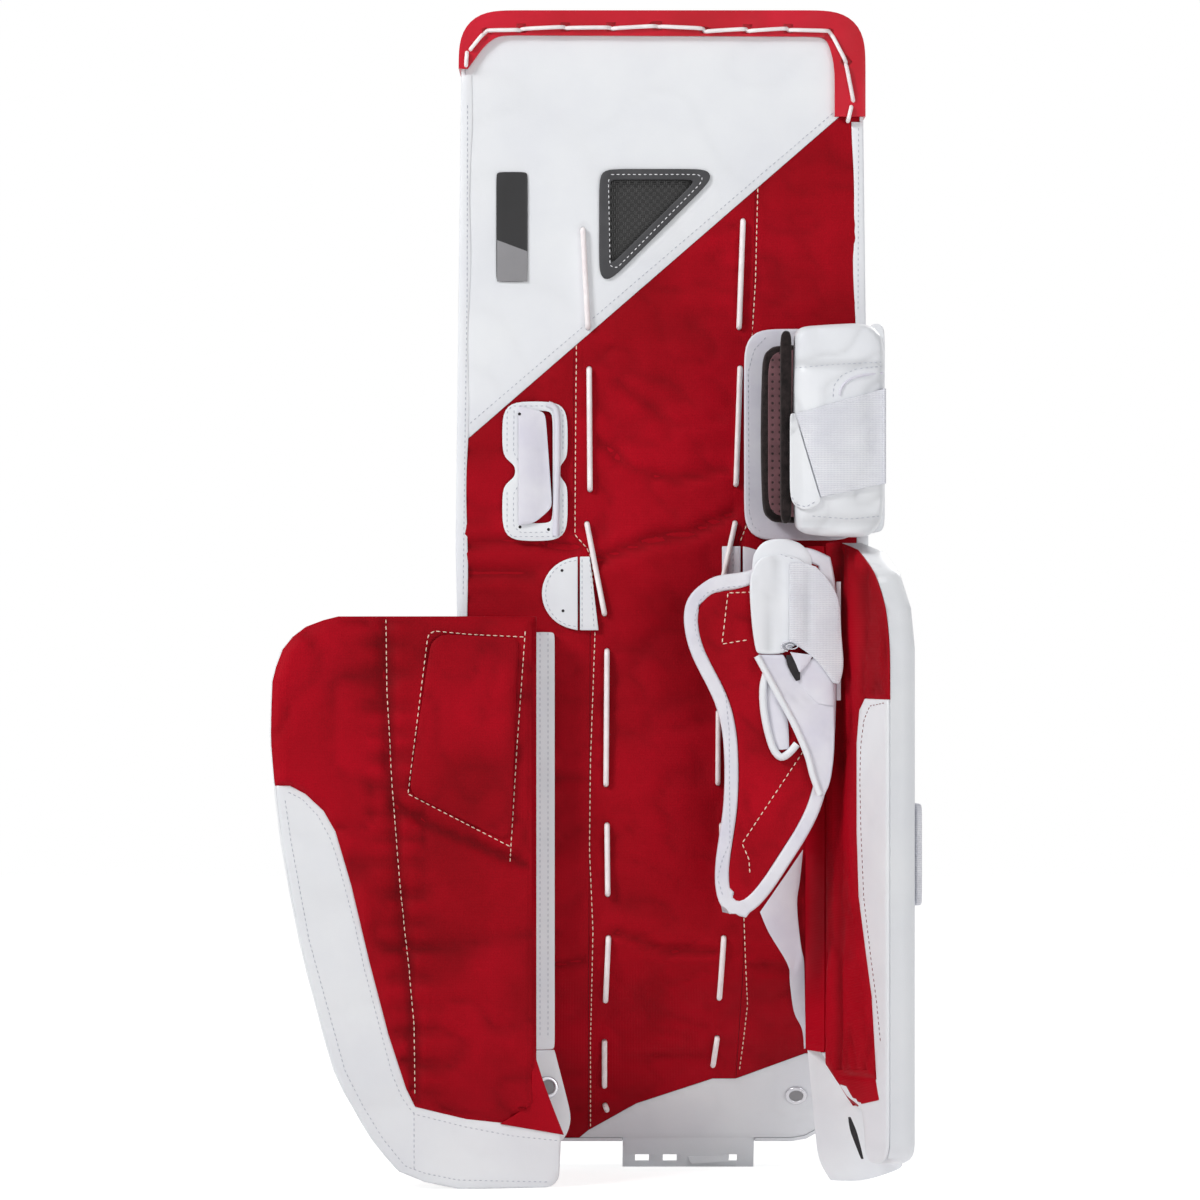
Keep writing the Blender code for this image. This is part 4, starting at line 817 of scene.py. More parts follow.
# --- leg-side panels ---
# where each lace goes in and comes out, from the top down
outerStitches = [((-0.0553, 0.6680), (-0.0518, 0.5990)), ((-0.0510, 0.5705), (-0.0504, 0.4855)),
                 ((-0.0526, 0.4620), (-0.0402, 0.3985)), ((-0.0385, 0.3730), (-0.0392, 0.2790)),
                 ((-0.0385, 0.2510), (-0.0380, 0.2020)), ((-0.0375, 0.1720), (-0.0395, 0.1260)),
                 ((-0.0402, 0.0960), (-0.0402, 0.0620)), ((-0.0398, 0.0480), (-0.0384, 0.0440))]
innerStitches = [((0.0567, 0.6740), (0.0539, 0.5990)), ((0.0546, 0.5710), (0.0518, 0.4890)),
                 ((0.0512, 0.4625), (0.0385, 0.4050)), ((0.0395, 0.3300), (0.0392, 0.2800)),
                 ((0.0418, 0.2510), (0.0430, 0.2010)), ((0.0432, 0.1720), (0.0405, 0.1280)),
                 ((0.0395, 0.0990), (0.0368, 0.0780))]
# folds that the photograph shows, as lines in the pad's own plane with their depth
panelFolds = [([(-0.138, 0.447), (-0.095, 0.450), (-0.058, 0.444)], 0.0018),
              ([(-0.046, 0.436), (-0.010, 0.450), (0.020, 0.455), (0.050, 0.470)], 0.0017),
              ([(-0.045, 0.520), (-0.020, 0.500), (0.010, 0.492), (0.045, 0.500)], 0.0009),
              ([(-0.030, 0.560), (0.010, 0.530), (0.040, 0.535)], 0.0007),
              ([(-0.135, 0.428), (-0.090, 0.425)], 0.0009),
              ([(-0.090, 0.283), (-0.055, 0.285)], 0.0008),
              ([(-0.033, 0.176), (0.000, 0.164), (0.036, 0.162)], 0.0013),
              ([(-0.092, 0.150), (-0.055, 0.156)], 0.0010),
              ([(0.060, 0.152), (0.092, 0.150)], 0.0008),
              ([(-0.028, 0.083), (0.030, 0.085)], 0.0006)]


foldShape = {"groove": 1.9, "width": 0.0030, "bulge": 0.6, "beside": 0.009, "reach": 0.005}


def panelRelief(x, z):
    move = folds(x, z, 0.050, 0.026, 0.0015, 4.1) + folds(x, z, 0.018, 0.012, 0.0004, 9.4)
    for line, depth in panelFolds:
        near = toLine(x, z, line)
        if near < 0.03:
            move -= depth * foldShape["groove"] * valley(near, foldShape["width"])
            move += depth * foldShape["bulge"] * valley(near - foldShape["beside"],
                                                        foldShape["reach"])
    return move


def calmRelief(x, z):
    return folds(x, z, 0.08, 0.06, 0.00030, 6.3)


laceEnds = [end for run in outerStitches + innerStitches for end in run]
panels = {"whiteTopPanel": ("rear_panel_top", whiteLeather, calmRelief),
          "redOuterPanel": ("rear_panel_outer", "wovenNylon", panelRelief),
          "redChannelPanel": ("channel_panel", "wovenNylon", panelRelief),
          "redInnerPanel": ("rear_panel_inner", "wovenNylon", panelRelief),
          "whiteBootLiner": ("boot_liner", whiteLeather, calmRelief)}
for panelName, (nodeName, paint, relief) in panels.items():
    dress(panelName, nodeName, padBase, "pad", paint,
          {"cell": 0.0045, "relief": relief, "drop": (0.0022, 0.0007), "holes": laceEnds,
           "ease": False}, 0.8)

edging = {"width": 0.0078, "thick": 0.0012, "low": 0.060, "crown": 0.0007}
for side, sideName, top in ((-1, "outerEdging", 0.776), (1, "innerEdging", 0.743)):
    heights = [edging["low"] + (top - edging["low"]) * k / 60 for k in range(61)]
    outside = [padBase @ Vector((side * (halfWidth(z) - 0.0002), leanAt(z) - 0.0002, z))
               for z in heights]
    inside = [padBase @ Vector((side * (halfWidth(z) - edging["width"]
                                        - 0.0007 * math.sin(z * 61)), leanAt(z) - 0.0002, z))
              for z in heights]
    ribbon(sideName, outside, inside, "pad", whiteLeather,
           {"along": 120, "across": 6, "crown": edging["crown"], "thick": edging["thick"]})
print("panels are sewn in")

# --- window, label ---
dressAll(padBase, "pad", {
    "windowFrame": ("window_frame", "mouldedRubber", {"round": 0.0006, "cell": 0.012}),
    "sizeLabel": ("label_patch", "printedLabel", {"round": 0.00015, "cell": 0.012})})
greyHalf = [(497, 240), (504, 242.6), (512, 245.6), (520, 248.6), (527.5, 251.4)]
strip("labelGreyHalf", greyHalf, [(px, 281.5) for px, py in greyHalf], padBase, -0.00095, "pad",
      "greyLabel", {"along": 12, "across": 2, "thick": 0.00008})

# --- laces ---
lace = {"radius": 0.0019, "under": 0.0050, "over": -0.0021}


def laceRoute(stitches, climb=None):
    route = [(stitches[0][0][0], lace["under"], stitches[0][0][1] + 0.006)]
    for (x0, z0), (x1, z1) in stitches:
        run = z0 - z1
        levels = [(z0 + 0.0012, lace["under"]), (z0 - 0.0004, 0.0008),
                  (z0 - 0.0022, lace["over"])]
        steps = max(2, int(run / 0.012))
        levels += [(z0 - run * k / steps, lace["over"]) for k in range(1, steps)]
        levels += [(z1 + 0.0022, lace["over"]), (z1 + 0.0004, 0.0008), (z1 - 0.0012, lace["under"])]
        for z, y in levels:
            t = min(1.0, max(0.0, (z0 - z) / run))
            if climb and climb[0] < z < climb[1] and y < 0:
                y -= 0.0024 * min(1.0, (climb[1] - z) / 0.004)
            route.append((x0 + (x1 - x0) * t, y, z))
    lastX, lastZ = stitches[-1][1]
    route.append((lastX, lace["under"], lastZ - 0.006))
    return [padBase @ Vector((x, y + leanAt(z) - (0.0004 if z < 0.16 else 0.0), z))
            for x, y, z in rounder(route, 3)]


tubeAlong("outerLace", laceRoute(outerStitches), lace["radius"], "pad", "braidedLace",
          ("lace_outer",))
tubeAlong("innerLace", laceRoute(innerStitches, (0.4055, 0.4475)), lace["radius"], "pad",
          "braidedLace", ("lace_inner",))
print("laces run through the panels")

# --- binding over the top edge ---
binding = {"round": 0.0012, "cell": 0.006, "depth": 0.0007}


def bindingRelief(x, z):
    # the roll puckers between one stitch of its lace and the next
    return binding["depth"] * math.sin(x * 2 * math.pi / 0.0295) * noise.noise(
        Vector((x / 0.03, 1.7, z / 0.02))) - 0.0002


dress("topBinding", "top_binding", padBase, "pad", "redSyntheticLeather",
      {"round": binding["round"], "steps": 3, "cell": binding["cell"], "axes": (0, 1, 2),
       "relief": bindingRelief, "sharp": 60.0})
topStitches = [((466, 66), (467, 52)), ((470, 50), (483, 34)), ((487, 30.5), (520, 30)),
               ((522, 29), (564, 27)), ((566, 28), (610, 27.5)), ((612, 28.5), (656, 26)),
               ((659, 26.5), (703, 28.5)), ((705, 31.5), (746, 29)), ((748, 31), (787, 28.5)),
               ((789, 30), (829, 31)), ((832, 35), (846, 62)), ((846, 64), (853.5, 102)),
               ((851.5, 106), (848, 121))]
topRoute = []
for (ax, ay), (bx, by) in topStitches:
    for t, lift in ((0.0, 0.0022), (0.06, 0.0002), (0.16, -0.0010), (0.5, -0.0013),
                    (0.84, -0.0010), (0.94, 0.0002), (1.0, 0.0022)):
        spot = onPlane(ax + (bx - ax) * t, ay + (by - ay) * t, padBase, -0.0042)
        topRoute.append(spot + Vector((0.0, lift, 0.0)))
tubeAlong("topLace", rounder(topRoute, 2), 0.0014, "pad", "braidedLace", ("top_lace",))
print("binding is laced on")

# --- anchor patch and half-round tabs ---
leather = {"round": 0.0005, "cell": 0.007}
dress("anchorPatch", "anchor_patch", padBase, "pad", whiteLeather, leather)
dress("anchorTab", "anchor_tab", padBase, "anchor_tab", shadedLeather,
      {"round": 0.0004, "cell": 0.004,
       "relief": lambda x, z: 0.0006 * math.sin((x + 0.1) * 260)
       + folds(x, z, 0.02, 0.04, 0.0004, 2)})
patchRoll = [(548, 404), (556.5, 412), (557.5, 450), (556.5, 500), (556, 536)]
tubeAlong("anchorRoll", rounder(drawn(patchRoll, padBase, -0.0030), 5), 0.0024, "pad",
          shadedLeather)
for index, (px, py) in enumerate(((519.5, 414), (520, 527), (548.5, 529.5))):
    hole("anchorHole" + str(index), px, py, ["anchorPatch", "anchorTab"], "pad")
sew("anchorPatch", [(507, 452), (507, 412), (512, 406), (558, 406), (563, 412), (563, 452)], "pad")
sew("anchorPatch", [(507, 492), (507, 530), (512, 536.5), (558, 536.5), (563, 531), (563, 490)],
    "pad")
sew("anchorPatch", [(514, 410), (513.5, 452), (519, 462), (519, 484), (513.5, 494), (513.5, 526),
                    (520, 532.5), (554, 532)], "pad")

dress("outerTabStrip", "d_tab_outer_strip", padBase, "pad", whiteLeather, leather)
dress("outerHalfTab", "d_tab_outer", padBase, "d_tab_outer", whiteLeather,
      {"round": 0.0005, "cell": 0.005,
       "relief": lambda x, z: 0.0005 * valley(x + 0.066, 0.004) + calmRelief(x, z)})
dress("innerTabStrip", "d_tab_inner_strip", padBase, "pad", shadedLeather, leather)
dress("innerHalfTab", "d_tab_inner", padBase, "d_tab_inner", shadedLeather, leather)
arcLine = [(576.5 - 31 * math.sin(math.pi * k / 14), 593.5 - 33 * math.cos(math.pi * k / 14))
           for k in range(15)]
sew("outerHalfTab", arcLine, "d_tab_outer")
sew("outerTabStrip", [(582, 559), (582, 628)], "pad")
sew("outerTabStrip", [(589.5, 559), (594, 628)], "pad")
sew("innerTabStrip", [(725.5, 555), (725.5, 573)], "pad")
sew("innerTabStrip", [(733, 553), (733, 573)], "pad")
for holeName, px, py in (("halfTabHoleTop", 562, 570.5), ("halfTabHoleLow", 563, 610.8)):
    hole(holeName, px, py, ["outerHalfTab"], "d_tab_outer")
print("patches and tabs are sewn on")

# --- outer flap ---
flapFace = -0.0278
quiltPixels = [(386, 619.5), (387, 692), (392, 784), (395.5, 830), (401, 896), (409, 969),
               (414, 1024), (415, 1099)]
pocketFoldPixels = [(395, 804), (430, 826), (480, 846), (524, 864)]


def localLine(pixels, base, depth):
    spots = [base.inverted() @ spot for spot in drawn(pixels, base, depth)]
    return [(s.x, s.z) for s in spots]


quiltLine = localLine(quiltPixels, flapBase, flapFace)
foldLine = localLine(pocketFoldPixels, flapBase, flapFace)


quilt = {"groove": 0.0038, "width": 0.0034, "pucker": 0.0014, "pitch": 0.019, "beside": 0.010,
         "reach": 0.009, "fold": 0.0040, "foldWidth": 0.0030}


def flapRelief(x, z):
    # a stitched groove with puckers beside it, the pocket's fold, and soft creases
    near = toLine(x, z, quiltLine)
    ripple = math.sin(z * 2 * math.pi / quilt["pitch"]
                      + 3 * noise.noise(Vector((0, 4, z / 0.05))))
    move = (-quilt["groove"] * valley(near, quilt["width"])
            + quilt["pucker"] * ripple * valley(near - quilt["beside"], quilt["reach"]))
    move -= quilt["fold"] * valley(toLine(x, z, foldLine), quilt["foldWidth"])
    move += folds(x, z, 0.050, 0.040, 0.0022, 5.5) + folds(x, z, 0.02, 0.012, 0.0005, 8.8)
    return move


# the flap and the wall are boards of the same make
shell = {"cell": 0.010, "axes": (0, 1, 2), "relief": calmRelief, "side": 1}
guard = {"cell": 0.006, "relief": calmRelief, "drop": (0.0020, 0.0003)}
hem = {"round": 0.0005, "cell": 0.006, "relief": calmRelief}
dressAll(flapBase, "outer_flap", {
    "flapShell": ("outer_flap_shell", whiteLeather, shell, 0.9),
    "flapLining": ("outer_flap_lining", "flapNylon", {
        "cell": 0.0045, "relief": flapRelief, "drop": (0.0022, 0.0005), "grow": 0.0009}, 0.7),
    "flapGuard": ("outer_flap_guard", whiteLeather, guard),
    "flapPocket": ("flap_pocket", "flapNylon", {
        "cell": 0.0045, "relief": lambda x, z: folds(x, z, 0.04, 0.04, 0.0018, 7.1),
        "drop": (0.0040, 0.0010)}, 0.3),
    "flapHingeStrip": ("outer_hinge_strip", whiteLeather, hem),
    "outerBootTab": ("outer_boot_tab", whiteLeather, hem)})
sew(["flapLining", "flapGuard"], quiltPixels, "outer_flap", "cream")
pocketParts = ["flapPocket", "flapLining"]
sew(pocketParts, [(510, 862), (517, 745), (525.5, 628)], "outer_flap", "cream")
sew(pocketParts, [(524, 637), (470, 634.5), (434, 631), (428, 635), (408, 794), (511, 847)],
    "outer_flap", "cream")
guardSeam = [(288, 792), (302, 799), (318, 816), (330, 838), (337, 858), (346, 892), (355, 926),
             (364, 968), (373, 1002), (383, 1040), (392, 1074), (402, 1098), (414, 1114),
             (466, 1127), (513, 1136), (562, 1141)]
sew("flapGuard", guardSeam, "outer_flap")
outlineSeam = [(285, 800), (291, 842), (309, 940), (326, 1002), (345, 1071), (364, 1108),
               (383, 1139), (405, 1166), (424, 1173), (458, 1180), (552, 1182)]
sew("flapGuard", outlineSeam, "outer_flap")
sew("flapGuard", [(414, 1112), (414, 1172)], "outer_flap")
for shift in (4.0, 12.0):
    sew("flapHingeStrip", [(536 + shift, 626), (536 + shift, 1040)], "outer_flap")
print("outer flap is quilted")

# --- inner wall ---
def wallRelief(x, z):
    return (folds(x, z, 0.030, 0.09, 0.0022, 3.3) - 0.0024 * valley(x - 0.052, 0.005)
            + folds(x, z, 0.015, 0.03, 0.0005, 8.3))


dressAll(wallBase, "inner_wall", {
    "wallShell": ("inner_wall_shell", whiteLeather, shell, 0.9),
    "wallLining": ("inner_wall_lining", "wallNylon", {
        "cell": 0.0045, "relief": wallRelief, "drop": (0.0022, 0.0005), "grow": 0.0006}, 0.7),
    "wallGuard": ("inner_wall_guard", whiteLeather, guard),
    "wallHingeStrip": ("inner_hinge_strip", "wallNylon", {"cell": 0.006, "relief": calmRelief}),
    "sideLoop": ("side_strap_loop", webbing, {"round": 0.0008, "cell": 0.007, "side": 1})})
sew("wallGuard", [(884, 703), (870, 706), (864, 720), (861, 745), (860, 780), (861, 829),
                  (864, 899), (871, 958), (876.5, 1000), (881, 1046)], "inner_wall", "darkRed")
gusset = {"left": [(760, 912), (769, 933), (788, 965), (790, 984), (794, 1012), (802, 1029),
                   (804, 1049)],
          "right": [(803, 850), (800, 880), (797, 905), (801, 947), (804, 962), (805, 1009),
                    (806, 1044)]}


def onPad(px, py, depth):
    # on the leg side at this depth, also where the boot leans away
    spot = onPlane(px, py, padBase, depth)
    for _ in range(4):
        spot = onPlane(px, py, padBase, depth + leanAt(spot.z))
    return spot


ribbon("gussetStrip", [onPad(px, py, -0.0026) for px, py in gusset["left"]],
       [onPad(px, py, -0.0026) for px, py in gusset["right"]], "pad", shadedLeather,
       {"along": 40, "across": 6, "crown": 0.0010, "thick": 0.0012}, ("inner_gusset",))
print("inner wall is covered")

# --- knee cradle ---
cradle = {"front": -0.0880, "strap": -0.0883}
dress("kneeBase", "knee_base", padBase, "pad", shadedLeather,
      {"round": 0.0014, "steps": 3, "cell": 0.007, "relief": calmRelief})
# the pad's black nap makes the dark line between the base's border and the lining: partly the pad's
# own side, partly painted shade
stuff("kneePad", "knee_base_pad", padBase, "pad", "blackNap",
      {"cell": 0.006, "relief": calmRelief, "drop": (0.006, 0.0015)})
dress("kneeLining", "knee_base_lining", padBase, "pad", "perforatedSuede",
      {"round": 0.0005, "cell": 0.006,
       "relief": lambda x, z: folds(x, z, 0.03, 0.05, 0.0005, 1.1)})
dress("kneeSideWall", "knee_side_wall", padBase, "knee_wrap", whiteLeather,
      {"round": 0.0010, "cell": 0.009, "relief": calmRelief})


def wrapRelief(x, z):
    # the wrap is fullest in its middle and pulled in by the seam near its top
    move = -0.0016 * valley(z - 0.569, 0.0028) - 0.0012 * valley(z - 0.466, 0.003)
    return move + min(0.0, folds(x, z, 0.04, 0.03, 0.0012, 4.9))


def wrapLower(x, z):
    t = min(1.0, max(0.0, (0.480 - z) / 0.022))
    return 0.0060 * t * t * (3 - 2 * t)


stuff("kneeWrap", "knee_wrap_pad", padBase, "knee_wrap", whiteLeather,
      {"cell": 0.0055, "axes": (0, 1, 2), "relief": wrapRelief, "drop": (0.010, 0.0022),
       "lower": wrapLower})
dressAll(padBase, "knee_wrap", {
    "kneeWrapLining": ("knee_wrap_lining", "perforatedSuede", {"round": 0.0005, "cell": 0.006}),
    "kneeWrapLip": ("knee_wrap_lip", "blackNap", {
        "round": 0.0022, "steps": 3, "cell": 0.004, "axes": (0, 1, 2), "sharp": 60.0,
        "warp": lambda x, z: 0.0010 * noise.noise(Vector((0.0, 2.0, z / 0.03)))})})


def layOn(piece, nominal):
    # how far a piece has to move to lie on the surface of another, whose face was at nominal
    def follow(x, z):
        start = padBase @ Vector((min(x, 0.1470), -0.2, z))
        found = trees[piece].ray_cast(start, Vector((0.0, 1.0, 0.0)))
        move = found[0].y - padY - nominal if found[0] is not None else 0.0
        return max(-0.0020, min(0.0020, move))
    return follow


wrapSurface = layOn("kneeWrap", cradle["front"])
strapLow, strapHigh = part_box("knee_strap")
strapBend = ("knee_wrap", "knee_strap", (strapHigh.x, strapLow.y, strapLow.z),
             (strapHigh.x - 0.009, strapLow.y, strapLow.z))
dress("kneeStrap", "knee_strap", padBase, strapBend, webbing,
      {"round": 0.0004, "cell": 0.004, "warp": wrapSurface})
dress("kneeStrapTongue", "knee_strap_tongue", padBase, "knee_strap", whiteLeather,
      {"round": 0.0005, "cell": 0.004, "warp": wrapSurface})
# a web of cloth joins the wrap to its base, and the strap's root lies on the wrap's side
web = {"lap": 0.004, "lift": 0.0012, "inset": 0.004, "step": 0.0135, "steps": 10}
sideLow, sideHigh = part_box("knee_side_wall")
webHeights = [sideLow.z + web["inset"] + web["step"] * k for k in range(web["steps"] + 1)]
webBend = ("pad", "knee_wrap", (sideLow.x - 0.001, padY, sideLow.z),
           (sideHigh.x, padY, sideLow.z))
ribbon("kneeWeb", [(sideLow.x - web["lap"], padY - web["lift"], z) for z in webHeights],
       [(sideHigh.x - 0.0004, padY - web["lift"], z) for z in webHeights], webBend,
       shadedLeather, {"along": 12, "across": 16, "thick": 0.0010})
root = {"start": 0.0012, "reach": 0.0260, "thick": 0.0011, "steps": 6}
strapEnd = [v.co.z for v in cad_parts["knee_strap"].data.vertices
            if v.co.x > strapHigh.x - 0.001]
rootHeights = [min(strapEnd) + (max(strapEnd) - min(strapEnd)) * k / root["steps"]
               for k in range(root["steps"] + 1)]
ribbon("kneeStrapRoot",
       [(strapHigh.x - 0.0008, strapLow.y + root["start"], z) for z in rootHeights],
       [(strapHigh.x - 0.0006, strapLow.y + root["reach"], z) for z in rootHeights], "knee_wrap",
       webbing, {"along": 12, "across": 10, "thick": root["thick"], "up": (1.0, 0.0, 0.0)})
moonPixels = [(840, 395), (841, 389), (846, 382), (856, 377), (868, 374.5), (882, 373)]
moonLine = [hit(px, py, ["kneeWrap"]) for px, py in moonPixels]
moonLine = [found[0] + found[1] * 0.0002 for found in moonLine if found]
if len(moonLine) > 2:
    tubeAlong("halfMoonEdge", rounder(moonLine, 4), 0.0009, "knee_wrap", shadedLeather)
sew("kneeWrap", [(795, 368), (840, 364), (884, 362)], "knee_wrap")
sew("kneeWrap", [(833, 397), (834, 385), (842, 375), (856, 369), (884, 366)], "knee_wrap")
sew("kneeWrap", [(812, 516), (850, 519), (880, 516)], "knee_wrap")
sew("kneeStrapTongue", [(792, 497), (795, 504), (806, 507), (818, 500)], "knee_strap")
sew("kneeBase", [(749, 512), (748, 372), (754, 350), (767, 336)], "pad")
sew("kneeBase", [(749, 512), (753, 526), (764, 534)], "pad")
print("knee cradle is stuffed")

# --- calf wrap ---
def calfLower(x, z):
    # the bound edge runs level before it goes behind the tongue
    t = min(1.0, max(0.0, (x + 0.092) / 0.030)) * min(1.0, max(0.0, (-0.028 - x) / 0.020))
    return 0.0090 * t * t * (3 - 2 * t) * min(1.0, max(0.0, (z - 0.385) / 0.030))


dressAll(calfBase, "calf_wrap", {
    "calfPanel": ("calf_wrap_panel", "wovenNylon", {
        "round": 0.0006, "cell": 0.005, "lower": calfLower, "ease": False,
        "relief": lambda x, z: folds(x, z, 0.03, 0.03, 0.0016, 2.9)}, 0.5),
    "calfBinding": ("calf_wrap_binding", shadedLeather, {
        "round": 0.0028, "steps": 4, "cell": 0.006, "lower": calfLower, "sharp": 60.0,
        "relief": lambda x, z: folds(x, z, 0.015, 0.015, 0.0004, 6.6)}),
    "calfHingeStrip": ("calf_hinge_strip", shadedLeather, {"round": 0.0003, "cell": 0.01}),
    "calfTongue": ("calf_wrap_tongue", whiteLeather, {
        "round": 0.0014, "steps": 3, "cell": 0.005, "sharp": 60.0,
        "relief": lambda x, z: -0.0022 * valley(x + 0.0475 + 0.04 * (0.41 - z), 0.0022)
        + folds(x, z, 0.02, 0.05, 0.0006, 3.8)}, 0.5),
    "calfSling": ("calf_wrap_sling", shadedLeather, {
        "round": 0.0009, "cell": 0.004, "sharp": 60.0,
        "relief": lambda x, z: folds(x + z, z, 0.012, 0.05, 0.0008, 5.2)})})
dress("calfStrap", "calf_strap", calfBase, "calf_strap", webbing, {
    "round": 0.0005, "cell": 0.004, "sharp": 60.0,
    "relief": lambda x, z: -0.0012 * valley(x + 0.0235 + 0.05 * (0.41 - z), 0.0016)})

slingEdge = [(757, 656), (768, 676), (780, 698), (791, 718), (800, 737), (808, 757), (813, 776),
             (820, 795)]
tubeAlong("slingRoll", rounder(drawn(slingEdge, calfBase, -0.0078), 4), 0.0024, "calf_wrap",
          whiteLeather)
loopEdge = [(768, 668), (763.5, 684), (763, 700), (765, 718), (769, 736), (774, 750),
            (781, 757), (789, 753), (797, 744)]
tubeAlong("innerLoop", rounder(drawn(loopEdge, calfBase, -0.0046), 4), 0.0027, "calf_wrap",
          whiteLeather)
strip("loopFold", [(767, 672), (766, 692), (768, 714), (772, 736), (778, 750)],
      [(778, 690), (784, 706), (788, 722), (789, 738), (789, 749)], calfBase, -0.0036,
      "calf_wrap", shadedLeather, {"along": 20, "across": 5, "crown": 0.0012, "thick": 0.0008})
# the end of the strap is rolled up: its radius grows as it turns
roll = {"turns": 1.7, "steps": 26, "inner": 0.0014, "grows": 0.0042, "wide": 1.35, "flat": 0.75,
        "width": 0.0075}
rollLine = []
rollMiddle = onPlane(791, 646, calfBase, -0.0120)
for k in range(roll["steps"] + 1):
    turn = k / roll["steps"] * 2 * math.pi * roll["turns"]
    size = roll["inner"] + roll["grows"] * k / roll["steps"]
    rollLine.append(rollMiddle + Vector((size * roll["wide"] * math.cos(turn), 0.0,
                                         size * roll["flat"] * math.sin(turn))))
ribbon("strapRoll", rollLine, [spot + Vector((0.0, roll["width"], 0.0)) for spot in rollLine],
       "calf_strap", webbing,
       {"along": 60, "across": 2, "thick": 0.0007, "up": (0.3, 0.0, 1.0)})
calfStrips = {
    # painted shade: a dark strip in the gap of the fold
    "foldShadow": ([(786, 655), (787, 664), (791, 673), (796, 681)],
                   [(791, 655), (797, 663), (800, 672), (800, 680)], -0.0090,
                   "holeAndGapShade", {"along": 12, "across": 3, "thick": 0.0004}),
    "innerLeaf": ([(790, 652), (795, 662), (799, 672)], [(813, 655), (808, 664), (801, 672)],
                  -0.0096, shadedLeather,
                  {"along": 12, "across": 4, "crown": 0.0008, "thick": 0.0005}),
    "slingBack": ([(797, 668), (799, 682), (806, 692), (818, 704)],
                  [(818, 655), (828, 668), (833, 682), (834, 706)], -0.0075,
                  shadedLeather, {"along": 20, "across": 6, "crown": 0.0010, "thick": 0.0010}),
    "tongueDome": ([(752, 574), (753, 558), (757, 549), (764, 542), (773, 539)],
                   [(811, 574), (811.5, 560), (807, 550), (799, 543), (788, 539)], -0.0046,
                   whiteLeather, {"along": 20, "across": 10, "crown": 0.0022, "thick": 0.0016})}
for name, (left, right, depth, paint, spec) in calfStrips.items():
    strip(name, left, right, calfBase, depth, "calf_wrap", paint, spec)
sew("calfPanel", [(753, 592), (728, 593), (722, 644), (753.5, 639)], "calf_wrap", "cream")
sew("calfPanel", [(803.5, 751), (742, 843.5), (749, 859), (750, 876)], "calf_wrap", "cream")
sew("calfBinding", [(746, 585.5), (724, 587.5), (707, 592.5), (699.5, 601), (695, 616), (695, 629),
                    (701, 649), (711, 661), (718, 676), (726, 698), (729, 730), (729.5, 790),
                    (730, 842), (722.5, 859), (717.5, 878), (724, 900)], "calf_wrap")
sew("calfTongue", [(776, 553), (797, 560)], "calf_wrap")
print("calf wrap is bound")

# --- boot: toe bridge, inner tab, eyelets ---
dress("toeBridge", "toe_bridge", padBase, "pad", whiteLeather,
      {"round": 0.0004, "cell": 0.009})
dress("innerBootTab", "inner_boot_tab", tabBase, "inner_boot_tab", whiteLeather,
      {"round": 0.0004, "cell": 0.006})
strip("toeTab", [(688, 1156), (689, 1160), (691, 1164)], [(729, 1154), (729, 1158), (728, 1162)],
      padBase, 0.1010, "pad", whiteLeather, {"along": 4, "across": 10, "thick": 0.0012})
# painted shade: a dark strip inside the slit
strip("slitShade", [(848, 1117), (850, 1130), (855, 1144), (861, 1159)],
      [(850.5, 1117), (856, 1130), (860, 1144), (863.5, 1159)], tabBase, 0.0, "inner_boot_tab",
      "holeAndGapShade", {"along": 16, "across": 2, "thick": 0.0004})
wallParts = ["wallLining", "wallGuard", "wallHingeStrip", "innerBootTab"]
patch("wallCorner", [(832, 1070), (838, 1082), (845, 1094), (853, 1106)],
      [(874.5, 1070), (876, 1082), (877.5, 1092), (879, 1100)], wallParts, "inner_wall",
      "wallNylon")


def ring(name, centre, facing, body, nodeName, spec):
    # a rolled eyelet: a small round section swept round the hole
    bm = bmesh.new()
    bmesh.ops.create_circle(bm, segments=10, radius=spec["bead"],
                            matrix=Matrix.Translation((spec["radius"], 0.0, 0.0))
                            @ Matrix.Rotation(math.radians(90), 4, "X"))
    bmesh.ops.spin(bm, geom=bm.edges[:], cent=(0, 0, 0), axis=(0, 0, 1), angle=2 * math.pi,
                   steps=36, use_merge=True, use_duplicate=False)
    bmesh.ops.scale(bm, vec=(1.0, 1.0, 0.55), verts=bm.verts)
    bmesh.ops.recalc_face_normals(bm, faces=bm.faces)
    turned = facing.to_track_quat("Z", "Y").to_matrix().to_4x4()
    bmesh.ops.transform(bm, matrix=Matrix.Translation(centre) @ turned, verts=bm.verts)
    bm.normal_update()
    keep(name, bm, body, "eyeletNickel", (nodeName,), sharp=60.0)
    bm = bmesh.new()
    bmesh.ops.create_cone(bm, cap_ends=True, segments=28, radius1=spec["radius"] - 0.0006,
                          radius2=spec["radius"] - 0.0006, depth=0.0004,
                          matrix=Matrix.Translation(centre + facing * spec["sink"]) @ turned)
    keep(name + "Hole", bm, body, "greyLabel", sharp=30.0)


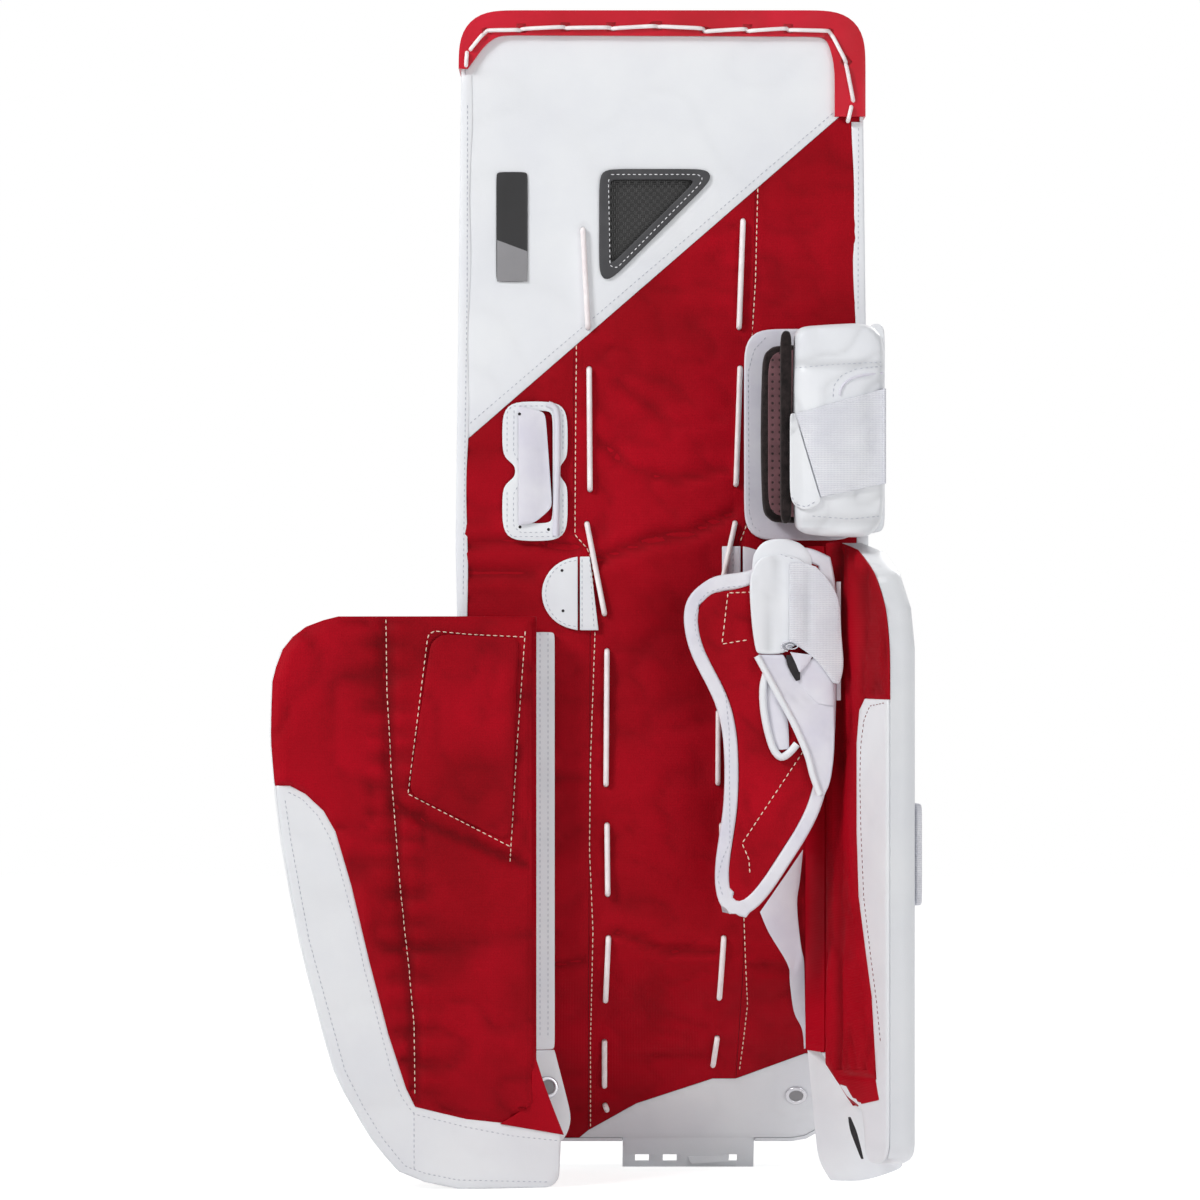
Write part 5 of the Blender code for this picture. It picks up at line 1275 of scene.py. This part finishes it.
eyelet = {"radius": 0.0064, "bead": 0.0016, "sink": 0.0}
for ringName, nodeName, body, facing in (
        ("outerEyeletRing", "outer_eyelet", "outer_flap",
         flapBase.to_3x3() @ Vector((0.0, -1.0, 0.0))),
        ("innerEyeletRing", "inner_eyelet", "pad", Vector((0.0, -1.0, -0.67)).normalized())):
    low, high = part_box(nodeName)
    ring(ringName, (low + high) / 2, facing, body, nodeName, eyelet)
cornerLeft = [(531, 1056), (532, 1085), (530, 1104), (518, 1113), (500, 1124)]
cornerRight = [(536, 1058), (543, 1080), (551, 1102), (558, 1120), (564, 1135)]
cornerFace = (flapBase.inverted() @ hit(540, 1150, ["flapGuard"])[0]).y - 0.0012
strip("liningCorner", cornerLeft, cornerRight, flapBase, cornerFace, "outer_flap", "flapNylon",
      {"along": 24, "across": 8, "thick": 0.0010})
print("boot is finished")

# --- seams on the pad ---
padSeams = [
    ("whiteTopPanel", "grey", [(833, 113), (468, 425)]),
    (["redChannelPanel", "redOuterPanel"], "cream",
     [(576.5, 338), (575.5, 455), (575, 535), (587, 548), (592, 560), (595, 634), (590.5, 760),
      (589.5, 850), (593, 932), (590.5, 1040), (590.5, 1131)]),
    ("redInnerPanel", "cream",
     [(758, 182), (755.5, 280), (752.5, 330), (750.5, 480), (748.5, 520), (739, 545)]),
    ("redInnerPanel", "cream",
     [(743.5, 905), (745.5, 960), (747.5, 1005), (743.5, 1040), (739, 1073)]),
    ("outerEdging", "grey", [(467.5, 105), (467, 300), (465, 430), (463, 600)]),
    ("innerEdging", "grey", [(858.5, 128), (858, 310)]),
    ("windowFrame", "white", [(611, 174.5), (698, 174.5), (703, 178), (700, 184), (617, 268),
                              (610, 266), (608.5, 180), (611, 174.5)])]
for owners, kind, pixels in padSeams:
    sew(owners, pixels, "pad", kind)

for (body, kind), bm in threads.items():
    keep("thread_" + kind + "_" + body, bm, body, threadKinds[kind][0], sharp=0)
print("threads:", len(threads))

for name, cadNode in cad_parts.items():
    if not cadNode.hide_render:
        print("carried over:", name)
